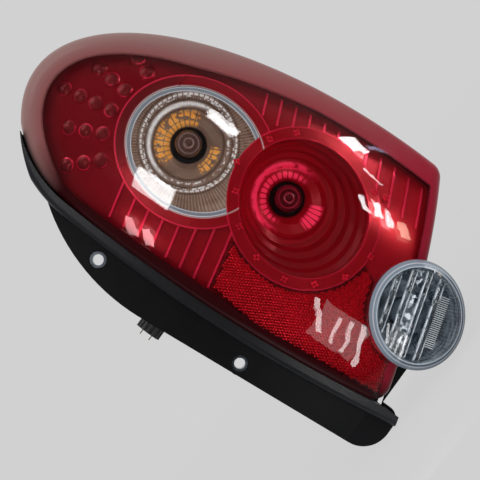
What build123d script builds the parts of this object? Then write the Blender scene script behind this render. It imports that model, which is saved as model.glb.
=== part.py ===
from build123d import *
import math
import os

# A right-hand tail lamp with a clear domed lens over a red inner lens.
# X points outboard, Y forwards into the car and Z up along the flange's two bolts.
# The origin is midway between the bolts, on the rear seat of their bosses.

# Clearances
FIT_GAP = 0.3
SEAT_GAP = 0.1
OVERCUT = 1.0
EDGE_BAND = 0.5

# Mounting flange and its bolts
BOLT_SPACING = 140.0
BOLT_BORE_R = 4.5
SLEEVE_WALL = 1.2
SLEEVE_HEAD_R = 6.6
SLEEVE_HEAD_T = 1.0
RECESS_DEPTH = 2.4
BOSS_WALL = 3.0
SEAT_DEPTH = 8.0
FLANGE_T = 4.0
FLANGE_TOP = (14.0, 130.0)
FLANGE_SHOULDER = (-9.5, 84.0)
FLANGE_WAIST = (-17.5, 18.0)
FLANGE_LOW = (-0.5, -166.0)
TOE_BOTTOM = -199.5
TOE_INBOARD = 2.5
TOE_OUTBOARD = 43.0
TOE_HEEL_R = 24.0
TOE_TIP_R = 11.0
TOE_CREASE = -175.0
TOE_DROP = 3.0
GUSSET_T = 2.5
GUSSET_REACH = 17.0
GUSSET_PITCH = 38.0
GUSSET_COUNT = 6
GUSSET_TOP = 106.0

# Outline of the lens: an ellipse cut off by an inboard arc, a nose arc and a bottom arc
OUTLINE_X = 93.6
OUTLINE_Z = -94.4
OUTLINE_HALF_X = 128.5
OUTLINE_HALF_Z = 294.8
INBOARD_TOP_X = 21.8
INBOARD_MIDDLE = (21.7, -15.0)
LOW_CORNER = (40.3, -181.0)
BOTTOM_MIDDLE = (120.0, -153.5)
BOTTOM_END = (235.0, -104.0)
NOSE_DROP = 82.4
NOSE_R = 100.0
NOSE_SWEEP = 60.0

# Front dome of the lens
DOME_X = 100.0
DOME_Z = -40.0
DOME_FRONT = -50.0
DOME_MARGIN_X = 34.5
DOME_MARGIN_Z = 35.2
DOME_HALF_Y = 100.0
LENS_T = 2.6
LENS_EDGE_R = 14.0
RIM_Y = 28.0

# Red inner lens
INNER_FRONT_GAP = 11.0
INNER_SIDE_GAP = 11.5
INNER_INBOARD_GAP = 6.0
INNER_SHIFT_X = -6.0
INNER_SHIFT_Z = 4.0
INNER_T = 3.0
INNER_EDGE_R = 6.0
RING_RAISE = 4.0
DISC_RAISE = 5.0
RIB_RAISE = 1.8
RIB_T = 1.8
RIB_LENGTH = 60.0
RIB_PITCH = 13.6
INBOARD_RIBS_AT = (33.0, 82.0)
INBOARD_RIB_SLOPE = 13.0
INBOARD_RIB_COUNT = 8
OUTBOARD_RIBS_AT = (168.0, 32.0)
OUTBOARD_RIB_SLOPE = 23.0
OUTBOARD_RIB_COUNT = 12
PANE_DROP = 1.0
PANE_T = 2.0
PANE_RIM = 3.0
BEAD_DOME_R = 10.0
BEAD_DOME_RISE = 2.0
BEAD_DOME_FIRST = 72.0
BEAD_DOME_PITCH = 13.5
BEAD_DOME_ROWS = ((67.5, 2), (85.0, 3), (100.0, 4), (115.0, 3), (131.5, 3))
REFLEX_T = 2.2
REFLEX_GAP = 1.0
REFLEX_TOP = (36.0, -15.0)
REFLEX_RIDGE = (76.0, -7.0)
REFLEX_FAR = (120.0, -100.0)
REFLEX_HEEL = (96.0, -160.0)
REFLEX_LOW = (45.0, -171.0)
REFLEX_MIDDLE = (31.0, -60.0)

# Lamp chambers: centre of the opening, half sizes, turn of the long axis, bulb centre
WINDOW_AT = (113.5, 58.0)
WINDOW_LONG = 56.5
WINDOW_SHORT = 49.0
WINDOW_TURN = 90.0
WINDOW_RING = 9.5
INDICATOR_BULB_AT = (118.5, 67.5)
STOP_AT = (128.0, -36.7)
STOP_LONG = 55.7
STOP_SHORT = 50.0
STOP_TURN = 62.0
STOP_RING = 9.5
STOP_BULB_AT = (131.0, -24.0)
BOWL_MOUTH_Y = -12.0
BOWL_FLOOR_Y = 24.0
BOWL_T = 2.0
BOWL_RINGS = 5
BOWL_RISER_SHARE = 0.35
BULB_HOLE_R = 14.0

# Reversing lamp
REVERSE_AT = (112.4, -155.5)
REVERSE_LONG = 42.8
REVERSE_SHORT = 37.4
REVERSE_TURN = 37.0
SKIRT_STEP = 3.3
SKIRT_RIM_T = 2.0
SKIRT_H = 9.0
POD_INSET = 2.0
POD_T = 2.4
POD_PROUD = 1.5
REVERSE_DOME_RISE = 6.0
REVERSE_DOME_DEPTH = 30.0
REVERSE_DOME_SPREAD = 1.6
REVERSE_LENS_T = 2.4
OPTIC_T = 3.0
OPTIC_BARS = 5
OPTIC_BAR_PITCH = 11.0
OPTIC_BAR_R = 3.2
OPTIC_BAR_TURN = 28.0
OPTIC_BAR_GAP = 3.0
SHELF_T = 3.0

# Housing tub
LIP_T = 5.0
LIP_EDGE_GAP = 0.6
SKIRT_GAP = 0.4
SKIRT_T = 3.0
TUB_INBOARD_INSET = 5.0
TUB_SIDE_INSET = 32.0
TUB_T = 2.5
TUB_BACK_Y = 66.0
FRAME_T = 2.0
FRAME_SIDE_GAP = 0.5
SEAL_W = 10.0
SEAL_DROP = 5.0
SEAL_H = 9.0
SEAL_EDGE_R = 5.0
SEAL_END_X = 46.0
SEAL_TOP_GAP = 2.0
GASKET_T = 6.0
GASKET_W = 6.0
GASKET_EDGE = 1.5

# Bulbs and holders
GLASS_R = 11.0
GLASS_FRONT_Y = 0.0
GLASS_L = 30.0
GLASS_NOSE_SHARE = 0.9
CAP_R = 7.5
CAP_L = 18.0
BARREL_R = 12.0
BARREL_FRONT_Y = 40.0
COLLAR_R = 19.0
COLLAR_T = 3.0
GRIP_L = 13.0
GRIP_W = 26.0
GRIP_T = 9.0
HOLDER_SEAL_T = 2.0
HOLDER_SEAL_W = 5.0
BLADE_W = 6.3
BLADE_T = 0.8
BLADE_L = 9.0
BLADE_ROOT = 4.0
BLADE_SPACING = 9.0

# Tail bulb holder in the inboard wall
TAIL_Y = 51.0
TAIL_Z = 3.5
TAIL_GLASS_R = 5.0
TAIL_GLASS_L = 20.0
TAIL_CAP_R = 4.5
TAIL_CAP_L = 9.0
TAIL_BARREL_R = 8.0
TAIL_BARREL_L = 10.0
TAIL_COLLAR_R = 11.0
TAIL_COLLAR_T = 3.0
TAIL_GRIP_R = 10.0
TAIL_GRIP_END_X = -27.0
TAIL_RIBS = 14
TAIL_RIB_R = 1.4
TAIL_WINDOW_W = 34.0
TAIL_WINDOW_H = 30.0
TAIL_WINDOW_X = 57.0

# Small fittings
SCREW_R = 1.95
SCREW_HEAD_R = 3.8
SCREW_HEAD_T = 2.0
SCREW_L = 6.0
SCREW_INSET = 27.0
SCREW_ANGLES = (0.0, 33.0, 68.0, 100.0)
STUD_AT = ((160.0, 32.0), (164.0, -66.0))
STUD_BOSS_R = 8.0
STUD_BOSS_L = 6.0
STUD_SHANK_R = 3.0
STUD_COLLAR_R = 6.0
STUD_COLLAR_T = 3.0
STUD_NECK_L = 12.0
STUD_BALL_R = 5.0
VENT_AT = (66.0, -70.0)
VENT_SHANK_R = 3.0
VENT_CAP_R = 8.0
VENT_CAP_T = 6.0

# Places worked out from the sizes above
DOME_HALF_X = OUTLINE_HALF_X + DOME_MARGIN_X
DOME_HALF_Z = OUTLINE_HALF_Z + DOME_MARGIN_Z
FLANGE_BACK = -SEAT_DEPTH
FLANGE_FRONT = FLANGE_BACK - FLANGE_T
LIP_BACK = RIM_Y + LIP_T
FRAME_FRONT = RIM_Y - FRAME_T
SEAL_FRONT = FLANGE_FRONT - SEAL_H
SLEEVE_R = BOLT_BORE_R + SLEEVE_WALL
BOSS_R = SLEEVE_HEAD_R + BOSS_WALL
POD_LONG = REVERSE_LONG - POD_INSET
POD_SHORT = REVERSE_SHORT - POD_INSET
FAR = 400.0


def front_plane(y):
    """Plane facing the rear of the car at depth y, with sketch axes along X and Z."""
    return Plane(origin=(0, y, 0), x_dir=(1, 0, 0), z_dir=(0, -1, 0))


def slab(face, y_front, y_back):
    """Sketch in X and Z made solid between two depths."""
    return extrude(front_plane(y_back) * face, y_back - y_front)


def rod(at, radius, y_front, y_back):
    """Round bar along Y."""
    return slab(Pos(*at) * Circle(radius), y_front, y_back)


def side_rod(radius, x_start, x_end):
    """Round bar along X at the tail bulb's height and depth."""
    middle = Location((0.5 * (x_start + x_end), TAIL_Y, TAIL_Z))
    return middle * Rot(0, 90, 0) * Cylinder(radius, abs(x_end - x_start))


def oval(at, long, short, turn):
    """Ellipse with its long axis turned from X towards Z."""
    return Pos(*at) * Rot(0, 0, turn) * Ellipse(long, short)


def planform(inset):
    """Field outboard of the inboard and nose arcs and above the bottom arc, drawn in by inset."""
    nose_start = (INBOARD_TOP_X, OUTLINE_Z + OUTLINE_HALF_Z - NOSE_DROP)
    inboard = ThreePointArc(LOW_CORNER, INBOARD_MIDDLE, nose_start)
    nose = JernArc(nose_start, inboard % 1, NOSE_R, -NOSE_SWEEP)
    bottom = ThreePointArc(LOW_CORNER, BOTTOM_MIDDLE, BOTTOM_END)
    nose_end = nose @ 1
    top_far = nose_end + FAR * (nose % 1)
    low_far = bottom @ 1 + FAR * (bottom % 1)
    rest = Polyline(BOTTOM_END, low_far, top_far, nose_end)
    field = make_face([inboard, nose, bottom, rest])
    if inset == 0:
        return field
    return offset(field, -inset, kind=Kind.INTERSECTION)


def outline(inset, side_inset):
    """Outline of the lamp, drawn in by inset at the arcs and by side_inset at the ellipse."""
    round_part = Ellipse(OUTLINE_HALF_X - side_inset, OUTLINE_HALF_Z - side_inset)
    return planform(inset) & Pos(OUTLINE_X, OUTLINE_Z) * round_part


def inner_outline(inset):
    """Outline of the red inner lens, drawn in by inset."""
    at = (OUTLINE_X + INNER_SHIFT_X, OUTLINE_Z + INNER_SHIFT_Z)
    drawn_in = INNER_SIDE_GAP + inset
    round_part = Pos(*at) * Ellipse(OUTLINE_HALF_X - drawn_in, OUTLINE_HALF_Z - drawn_in)
    return planform(INNER_INBOARD_GAP + inset) & round_part


def dome(inset):
    """Ellipsoid whose front is the lens's outer surface, drawn in by inset."""
    halves = (DOME_HALF_X - inset, DOME_HALF_Y - inset, DOME_HALF_Z - inset)
    return Pos(DOME_X, DOME_FRONT + DOME_HALF_Y, DOME_Z) * scale(Sphere(1), by=halves)


def dome_y(at, inset):
    """Depth of that ellipsoid's front at a place in X and Z."""
    across = (at[0] - DOME_X) / (DOME_HALF_X - inset)
    up = (at[1] - DOME_Z) / (DOME_HALF_Z - inset)
    return DOME_FRONT + DOME_HALF_Y - (DOME_HALF_Y - inset) * math.sqrt(1 - across**2 - up**2)


def front_edges(body):
    """Edges of a domed body away from its flat rear rim."""
    rear = body.bounding_box().max.Y
    return [edge for edge in body.edges() if edge.center().Y < rear - EDGE_BAND]


def domed_body(face, inset, y_back, edge_r):
    """Prism of a face, capped by the dome and rounded at its front edges."""
    body = dome(inset) & slab(face, -FAR, y_back)
    return fillet(front_edges(body), edge_r)


def inboard_strip():
    """Field inboard of the lens's low corner, reaching further out above, round the nose."""
    return Rectangle(2 * LOW_CORNER[0], 2 * FAR) + Pos(0, FAR / 2) * Rectangle(2 * SEAL_END_X, FAR)


def pod_oval(grow):
    return oval(REVERSE_AT, POD_LONG + grow, POD_SHORT + grow, REVERSE_TURN)


def pod_front():
    """Front face of the reversing lamp's pod, just proud of the lens round it."""
    return dome_y((DOME_X, REVERSE_AT[1] + POD_LONG), 0) - POD_PROUD


def on_flange_bolts(solid):
    """Copies of a solid at the two flange bolts."""
    return [Pos(0, 0, side * BOLT_SPACING / 2) * solid for side in (-1, 1)]


def make_outer_lens():
    shell = domed_body(outline(0, 0), 0, RIM_Y, LENS_EDGE_R)
    shell -= domed_body(outline(LENS_T, LENS_T), LENS_T, RIM_Y + LIP_T, LENS_EDGE_R - LENS_T)
    return shell - slab(pod_oval(FIT_GAP), -FAR, FAR)


def window_oval(grow):
    return oval(WINDOW_AT, WINDOW_LONG + grow, WINDOW_SHORT + grow, WINDOW_TURN)


def stop_oval(grow):
    return oval(STOP_AT, STOP_LONG + grow, STOP_SHORT + grow, STOP_TURN)


def window_face(inset):
    """Opening of the indicator, with the stop lamp's ring cut out of it."""
    return window_oval(-inset) - stop_oval(STOP_RING + inset)


def raised_layer(face, raise_by):
    """Solid under a face that stands proud of the inner lens's surface."""
    return slab(face, -FAR, FRAME_FRONT - INNER_T) & dome(INNER_FRONT_GAP - raise_by)


def reflex_field():
    """Field of the reflex panel between the stop disc, the reversing lamp and the edges."""
    corners = (REFLEX_TOP, REFLEX_RIDGE, REFLEX_FAR, REFLEX_HEEL, REFLEX_LOW, REFLEX_MIDDLE)
    field = make_face(Polyline(*corners, close=True))
    return field - stop_oval(STOP_RING + REFLEX_GAP) - pod_oval(POD_INSET + REFLEX_GAP)


def rib_field():
    """Fluting ribs beside the lamp chambers, as one sketch."""
    field = Sketch()
    rows = (
        (INBOARD_RIBS_AT, INBOARD_RIB_SLOPE, INBOARD_RIB_COUNT),
        (OUTBOARD_RIBS_AT, OUTBOARD_RIB_SLOPE, OUTBOARD_RIB_COUNT),
    )
    bar = Pos(RIB_LENGTH / 2, 0) * Rectangle(RIB_LENGTH, RIB_T)
    for start, slope, count in rows:
        for number in range(count):
            field += Pos(start[0], start[1] - number * RIB_PITCH) * Rot(0, 0, slope) * bar
    field -= [window_oval(WINDOW_RING), stop_oval(STOP_RING), pod_oval(POD_INSET), reflex_field()]
    return field & inner_outline(INNER_EDGE_R)


def make_inner_lens():
    lens = domed_body(inner_outline(0), INNER_FRONT_GAP, FRAME_FRONT, INNER_EDGE_R)
    ribs = raised_layer(rib_field(), RIB_RAISE)
    window_ring = raised_layer(window_oval(WINDOW_RING), RING_RAISE)
    stop_ring = raised_layer(stop_oval(STOP_RING), DISC_RAISE)
    raised = ribs + [window_ring, stop_ring] + bead_domes()
    lens += raised & slab(inner_outline(INNER_EDGE_R), -FAR, FRAME_FRONT)
    core_r = INNER_EDGE_R - INNER_T
    lens -= domed_body(inner_outline(INNER_T), INNER_FRONT_GAP + INNER_T, RIM_Y, core_r)
    lens -= slab(window_face(0), -FAR, RIM_Y)
    lens -= slab(stop_oval(0), -FAR, RIM_Y)
    return lens - slab(pod_oval(FIT_GAP), -FAR, RIM_Y)


def bead_domes():
    """Fanned rows of small domes above the indicator window."""
    domes = []
    for angle, count in BEAD_DOME_ROWS:
        turn = math.radians(angle)
        for number in range(count):
            reach = BEAD_DOME_FIRST + number * BEAD_DOME_PITCH
            at = (WINDOW_AT[0] + reach * math.cos(turn), WINDOW_AT[1] + reach * math.sin(turn))
            depth = dome_y(at, INNER_FRONT_GAP) - BEAD_DOME_RISE + BEAD_DOME_R
            domes.append(Pos(at[0], depth, at[1]) * Sphere(BEAD_DOME_R))
    return domes


def make_indicator_window():
    """Clear pane in the indicator's opening, with a rim down its edge."""
    front_gap = INNER_FRONT_GAP - RING_RAISE + PANE_DROP
    pane = slab(window_face(FIT_GAP), -FAR, BOWL_MOUTH_Y) & dome(front_gap)
    pane -= slab(window_face(FIT_GAP + PANE_RIM), -FAR, RIM_Y) & dome(front_gap + PANE_T)
    return pane - dome(INNER_FRONT_GAP + INNER_T)


def make_reflex_panel():
    panel = slab(reflex_field(), -FAR, RIM_Y) & dome(INNER_FRONT_GAP - FIT_GAP - REFLEX_T)
    return panel - dome(INNER_FRONT_GAP - FIT_GAP)


def bowl_body(mouth, long, short, turn, bulb_at, grow, floor_y):
    """Solid of a stepped oval bowl that runs from a round floor to an oval mouth and on forwards."""
    stations = [(0.0, 0.0)]
    for ring in range(BOWL_RINGS):
        step_depth = (ring + 1 - BOWL_RISER_SHARE) / BOWL_RINGS
        step_width = (ring + BOWL_RISER_SHARE) / BOWL_RINGS
        stations.append((step_depth, step_width))
        stations.append(((ring + 1) / BOWL_RINGS, (ring + 1) / BOWL_RINGS))
    sections = []
    for depth_share, width_share in stations:
        y = floor_y + (BOWL_MOUTH_Y - floor_y) * depth_share
        at = [low + (high - low) * depth_share for low, high in zip(bulb_at, mouth)]
        widths = []
        for half in (long, short):
            square = BULB_HOLE_R**2 + (half**2 - BULB_HOLE_R**2) * width_share
            widths.append(math.sqrt(square) + grow)
        sections.append(front_plane(y) * oval(at, widths[0], widths[1], turn))
    body = loft(sections, ruled=True)
    return body + slab(oval(mouth, long + grow, short + grow, turn), DOME_FRONT, BOWL_MOUTH_Y)


def make_bowl(mouth, long, short, turn, bulb_at):
    bowl = bowl_body(mouth, long, short, turn, bulb_at, BOWL_T, BOWL_FLOOR_Y + BOWL_T)
    bowl -= bowl_body(mouth, long, short, turn, bulb_at, 0, BOWL_FLOOR_Y)
    bowl -= rod(bulb_at, BULB_HOLE_R - BOWL_T, BOWL_FLOOR_Y - OVERCUT, FAR)
    return bowl


def stop_bowl_body(grow, floor_y):
    return bowl_body(STOP_AT, STOP_LONG, STOP_SHORT, STOP_TURN, STOP_BULB_AT, grow, floor_y)


def make_indicator_reflector():
    bowl = make_bowl(WINDOW_AT, WINDOW_LONG, WINDOW_SHORT, WINDOW_TURN, INDICATOR_BULB_AT)
    bowl &= dome(INNER_FRONT_GAP + INNER_T + FIT_GAP)
    return bowl - stop_bowl_body(BOWL_T + FIT_GAP, BOWL_FLOOR_Y + BOWL_T + FIT_GAP)


def make_stop_reflector():
    bowl = make_bowl(STOP_AT, STOP_LONG, STOP_SHORT, STOP_TURN, STOP_BULB_AT)
    return bowl & dome(INNER_FRONT_GAP + INNER_T + FIT_GAP)


def reverse_dome(inset):
    """Shallow dome over the reversing lens."""
    half_x = REVERSE_DOME_SPREAD * REVERSE_LONG - inset
    half_z = REVERSE_DOME_SPREAD * REVERSE_SHORT - inset
    ball = scale(Sphere(1), by=(half_x, REVERSE_DOME_DEPTH - inset, half_z))
    centre_y = pod_front() - SKIRT_H - REVERSE_DOME_RISE + REVERSE_DOME_DEPTH
    return Pos(REVERSE_AT[0], centre_y, REVERSE_AT[1]) * Rot(0, -REVERSE_TURN, 0) * ball


def reverse_oval(inset):
    return oval(REVERSE_AT, REVERSE_LONG - inset, REVERSE_SHORT - inset, REVERSE_TURN)


def make_reverse_lens():
    face = slab(reverse_oval(SKIRT_STEP), -FAR, pod_front()) & reverse_dome(0)
    rim_front = pod_front() - SKIRT_RIM_T
    flare_foot = front_plane(rim_front) * reverse_oval(0)
    flare_top = front_plane(pod_front() - SKIRT_H) * reverse_oval(SKIRT_STEP)
    flare = loft([flare_foot, flare_top])
    lens = face + slab(reverse_oval(0), rim_front, pod_front()) + flare
    hollow = slab(reverse_oval(SKIRT_STEP + REVERSE_LENS_T), -FAR, FAR) & reverse_dome(REVERSE_LENS_T)
    return lens - hollow


def make_reverse_optic():
    plate_oval = pod_oval(-POD_T - FIT_GAP)
    plate = slab(plate_oval, pod_front() - OPTIC_T, pod_front())
    plate &= slab(reverse_oval(SKIRT_STEP + REVERSE_LENS_T + FIT_GAP), -FAR, FAR)
    bar_room = slab(reverse_oval(SKIRT_STEP + REVERSE_LENS_T + OPTIC_BAR_GAP), -FAR, pod_front())
    optic = plate
    for number in range(OPTIC_BARS):
        aside = (number - (OPTIC_BARS - 1) / 2) * OPTIC_BAR_PITCH
        bar = Pos(0, 0, aside) * Rot(0, 90, 0) * Cylinder(OPTIC_BAR_R, 2 * REVERSE_LONG)
        place = Location((REVERSE_AT[0], pod_front() - OPTIC_T, REVERSE_AT[1]))
        optic += bar_room & (place * Rot(0, -OPTIC_BAR_TURN, 0) * bar)
    return optic


def make_reverse_reflector():
    long = POD_LONG - POD_T - FIT_GAP - BOWL_T
    short = POD_SHORT - POD_T - FIT_GAP - BOWL_T
    bowl = make_bowl(REVERSE_AT, long, short, REVERSE_TURN, REVERSE_AT)
    return bowl & slab(pod_oval(0), pod_front(), FAR)


def lamp_bulbs():
    """Bulb centres of the three bulbs that sit in the rear wall."""
    return {"indicator": INDICATOR_BULB_AT, "stop": STOP_BULB_AT, "reverse": REVERSE_AT}


def make_bulb_glass(at):
    glass = rod(at, GLASS_R, GLASS_FRONT_Y, GLASS_FRONT_Y + GLASS_L)
    front = glass.edges().sort_by(Axis.Y)[0]
    return fillet(front, GLASS_NOSE_SHARE * GLASS_R)


def make_bulb_cap(at):
    start = GLASS_FRONT_Y + GLASS_L
    return rod(at, CAP_R, start, start + CAP_L)


def collar_front():
    return TUB_BACK_Y + HOLDER_SEAL_T


def make_holder(at):
    cap_end = GLASS_FRONT_Y + GLASS_L + CAP_L
    body = rod(at, BARREL_R, BARREL_FRONT_Y, collar_front())
    body -= rod(at, CAP_R + SEAT_GAP, BARREL_FRONT_Y - OVERCUT, cap_end)
    collar = rod(at, COLLAR_R, collar_front(), collar_front() + COLLAR_T)
    grip_y = collar_front() + COLLAR_T
    grip = slab(Pos(*at) * RectangleRounded(GRIP_W, GRIP_T, GRIP_T / 4), grip_y, grip_y + GRIP_L)
    holder = body + collar + grip
    for blade in blade_slots(at, SEAT_GAP):
        holder -= blade
    return holder


def blade_slots(at, grow):
    """The two contact blades of a holder, or their slots when grown."""
    root = collar_front() + COLLAR_T + GRIP_L - BLADE_ROOT
    face = Rectangle(BLADE_T + 2 * grow, BLADE_W + 2 * grow)
    places = [(at[0] + side * BLADE_SPACING / 2, at[1]) for side in (-1, 1)]
    return [slab(Pos(*place) * face, root, root + BLADE_ROOT + BLADE_L) for place in places]


def make_holder_seal(at):
    outer = rod(at, BARREL_R + HOLDER_SEAL_W, TUB_BACK_Y, collar_front())
    return outer - rod(at, BARREL_R + SEAT_GAP, TUB_BACK_Y - OVERCUT, collar_front() + OVERCUT)


def tail_wall_x():
    """Outer face of the tub's inboard wall at the tail holder's height."""
    wall = slab(outline(TUB_INBOARD_INSET, TUB_SIDE_INSET), RIM_Y, TUB_BACK_Y)
    probe = Pos(0, TAIL_Y, TAIL_Z) * Box(2 * FAR, 1, 2 * TAIL_COLLAR_R)
    return (wall & probe).bounding_box().min.X


def tail_pad(x_wall):
    """Flat pad on the inboard wall that the tail holder seats on."""
    return side_rod(TAIL_COLLAR_R, x_wall - TUB_T, x_wall + 2 * TUB_T)


def make_tail_holder(x_seat):
    x_collar = x_seat - HOLDER_SEAL_T
    holder = side_rod(TAIL_BARREL_R, x_seat + TAIL_BARREL_L, x_collar)
    holder += side_rod(TAIL_COLLAR_R, x_collar, x_collar - TAIL_COLLAR_T)
    holder += side_rod(TAIL_GRIP_R, x_collar - TAIL_COLLAR_T, TAIL_GRIP_END_X)
    for number in range(TAIL_RIBS):
        turn = 2 * math.pi * number / TAIL_RIBS
        shift = Pos(0, TAIL_GRIP_R * math.cos(turn), TAIL_GRIP_R * math.sin(turn))
        holder += shift * side_rod(TAIL_RIB_R, x_collar - TAIL_COLLAR_T, TAIL_GRIP_END_X)
    barrel_end = x_seat + TAIL_BARREL_L
    holder -= side_rod(TAIL_CAP_R + SEAT_GAP, barrel_end + OVERCUT, barrel_end - TAIL_CAP_L)
    for blade in tail_blades(SEAT_GAP):
        holder -= blade
    return holder


def tail_blades(grow):
    blades = []
    for side in (-1, 1):
        middle_x = TAIL_GRIP_END_X + BLADE_ROOT / 2 - BLADE_L / 4
        centre = (middle_x, TAIL_Y, TAIL_Z + side * BLADE_SPACING / 2)
        size = (BLADE_ROOT + BLADE_L / 2, BLADE_W + 2 * grow, BLADE_T + 2 * grow)
        blades.append(Pos(*centre) * Box(*size))
    return blades


def make_tail_seal(x_seat):
    ring = side_rod(TAIL_COLLAR_R, x_seat, x_seat - HOLDER_SEAL_T)
    return ring - side_rod(TAIL_BARREL_R + SEAT_GAP, x_seat + OVERCUT, x_seat - HOLDER_SEAL_T - OVERCUT)


def make_tail_cap(x_seat):
    x_start = x_seat + TAIL_BARREL_L
    return side_rod(TAIL_CAP_R, x_start - TAIL_CAP_L, x_start)


def make_tail_glass(x_seat):
    x_start = x_seat + TAIL_BARREL_L
    glass = side_rod(TAIL_GLASS_R, x_start, x_start + TAIL_GLASS_L)
    return fillet(glass.edges().sort_by(Axis.X)[-1], GLASS_NOSE_SHARE * TAIL_GLASS_R)


def flange_face():
    """Outline of the flange, from its top round the toe to the lens's low corner."""
    side = ThreePointArc(FLANGE_TOP, FLANGE_SHOULDER, FLANGE_WAIST)
    heel = (TOE_INBOARD, TOE_BOTTOM)
    tip = (TOE_OUTBOARD, TOE_BOTTOM)
    back = (TOE_OUTBOARD, LOW_CORNER[1])
    inside = (OUTLINE_X, FLANGE_TOP[1])
    under = (OUTLINE_X, LOW_CORNER[1])
    rest = Polyline(FLANGE_WAIST, FLANGE_LOW, heel, tip, back, under, inside, FLANGE_TOP)
    face = make_face([side, rest])
    heel_corner = face.vertices().sort_by(Axis.Y)[:2].sort_by(Axis.X)[0]
    face = fillet(heel_corner, TOE_HEEL_R)
    tip_corner = face.vertices().sort_by(Axis.Y)[:2].sort_by(Axis.X)[-1]
    return fillet(tip_corner, TOE_TIP_R)


def toe_cut():
    """Wedge that bends the front of the toe back below its crease."""
    low_z = TOE_BOTTOM - OVERCUT
    near_y = FLANGE_FRONT - OVERCUT
    crease = (FLANGE_FRONT, TOE_CREASE)
    low = (FLANGE_FRONT + TOE_DROP, low_z)
    face = make_face(Polyline((near_y, TOE_CREASE), crease, low, (near_y, low_z), close=True))
    return extrude(Plane.YZ * face, 2 * FAR, both=True)


def make_gussets():
    """Ribs that stiffen the flange against the skirt wall."""
    gussets = []
    for number in range(GUSSET_COUNT):
        z = GUSSET_TOP - number * GUSSET_PITCH
        root = INBOARD_MIDDLE[0]
        corners = ((root, FLANGE_BACK), (root - GUSSET_REACH, FLANGE_BACK), (root, RIM_Y))
        far_root = Polyline(*corners, (OUTLINE_X, RIM_Y), (OUTLINE_X, FLANGE_BACK), close=True)
        gussets.append(extrude(Plane(origin=(0, 0, z)) * make_face(far_root), GUSSET_T))
    return gussets


def make_rear_housing(x_wall):
    lip = slab(outline(-SKIRT_GAP - SKIRT_T, LIP_EDGE_GAP), RIM_Y, LIP_BACK)
    tub = slab(outline(TUB_INBOARD_INSET, TUB_SIDE_INSET), RIM_Y, TUB_BACK_Y)
    pod = slab(pod_oval(0), pod_front(), TUB_BACK_Y)
    skirt = slab(outline(-SKIRT_GAP - SKIRT_T, LIP_EDGE_GAP), FLANGE_FRONT, RIM_Y)
    skirt &= slab(inboard_strip(), -FAR, FAR)
    flange = slab(flange_face(), FLANGE_FRONT, FLANGE_BACK) - toe_cut()
    lens_room = slab(planform(-SKIRT_GAP), -FAR, RIM_Y)
    apron = skirt + flange
    for gusset in make_gussets():
        apron += gusset
    for boss in on_flange_bolts(rod((0, 0), BOSS_R, FLANGE_FRONT, 0)):
        apron += boss
    housing = apron - lens_room + lip + tub + tail_pad(x_wall)
    hollow = outline(TUB_INBOARD_INSET + TUB_T, TUB_SIDE_INSET + TUB_T)
    housing -= slab(hollow, RIM_Y - OVERCUT, TUB_BACK_Y - TUB_T)
    housing += pod
    cavity = slab(pod_oval(-POD_T), pod_front() - OVERCUT, TUB_BACK_Y - TUB_T)
    shelf_y = BOWL_FLOOR_Y + BOWL_T
    shelf = slab(pod_oval(-POD_T), shelf_y, shelf_y + SHELF_T)
    shelf -= rod(REVERSE_AT, BULB_HOLE_R, -FAR, FAR)
    housing = housing - cavity + shelf
    for at in STUD_AT:
        housing += rod(at, STUD_BOSS_R, TUB_BACK_Y - TUB_T, TUB_BACK_Y + STUD_BOSS_L)
        housing -= rod(at, STUD_SHANK_R + SEAT_GAP, TUB_BACK_Y, TUB_BACK_Y + STUD_BOSS_L + OVERCUT)
    for at in lamp_bulbs().values():
        housing -= rod(at, BARREL_R + SEAT_GAP, TUB_BACK_Y - TUB_T - OVERCUT, TUB_BACK_Y + OVERCUT)
    housing -= rod(VENT_AT, VENT_SHANK_R + SEAT_GAP, TUB_BACK_Y - TUB_T - OVERCUT, TUB_BACK_Y + OVERCUT)
    housing -= side_rod(TAIL_BARREL_R + SEAT_GAP, x_wall - 2 * TUB_T, x_wall + 4 * TUB_T)
    for at in screw_places():
        housing -= rod(at, SCREW_R + SEAT_GAP, RIM_Y - OVERCUT, FRAME_FRONT + SCREW_L + SEAT_GAP)
    for hole in on_flange_bolts(rod((0, 0), SLEEVE_R + SEAT_GAP, -FAR, FAR)):
        housing -= hole
    recess = rod((0, 0), SLEEVE_HEAD_R + FIT_GAP, FLANGE_FRONT - OVERCUT, FLANGE_FRONT + RECESS_DEPTH)
    for hole in on_flange_bolts(recess):
        housing -= hole
    return housing


def make_bolt_sleeves():
    head_back = FLANGE_FRONT + RECESS_DEPTH
    sleeve = rod((0, 0), SLEEVE_R, head_back, 0)
    sleeve += rod((0, 0), SLEEVE_HEAD_R, head_back - SLEEVE_HEAD_T, head_back)
    sleeve -= rod((0, 0), BOLT_BORE_R, -FAR, FAR)
    return Compound(on_flange_bolts(sleeve))


def make_edge_seal():
    """Rounded rubber bead on the flange and skirt, along the lens's inboard edge and round its nose."""
    strip = Pos(0, -SEAL_DROP) * planform(-SEAL_W) - planform(-SKIRT_GAP)
    strip &= inboard_strip()
    round_part = Ellipse(OUTLINE_HALF_X + SEAL_W / 2, OUTLINE_HALF_Z - SEAL_TOP_GAP)
    strip &= Pos(OUTLINE_X, OUTLINE_Z) * round_part
    seal = slab(strip, SEAL_FRONT, FLANGE_FRONT)
    outer = seal.edges().filter_by(lambda edge: abs(edge.center().Y - SEAL_FRONT) < EDGE_BAND)
    outer = ShapeList(outer).sort_by(Axis.X)
    return fillet(outer[0], SEAL_EDGE_R)


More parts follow.
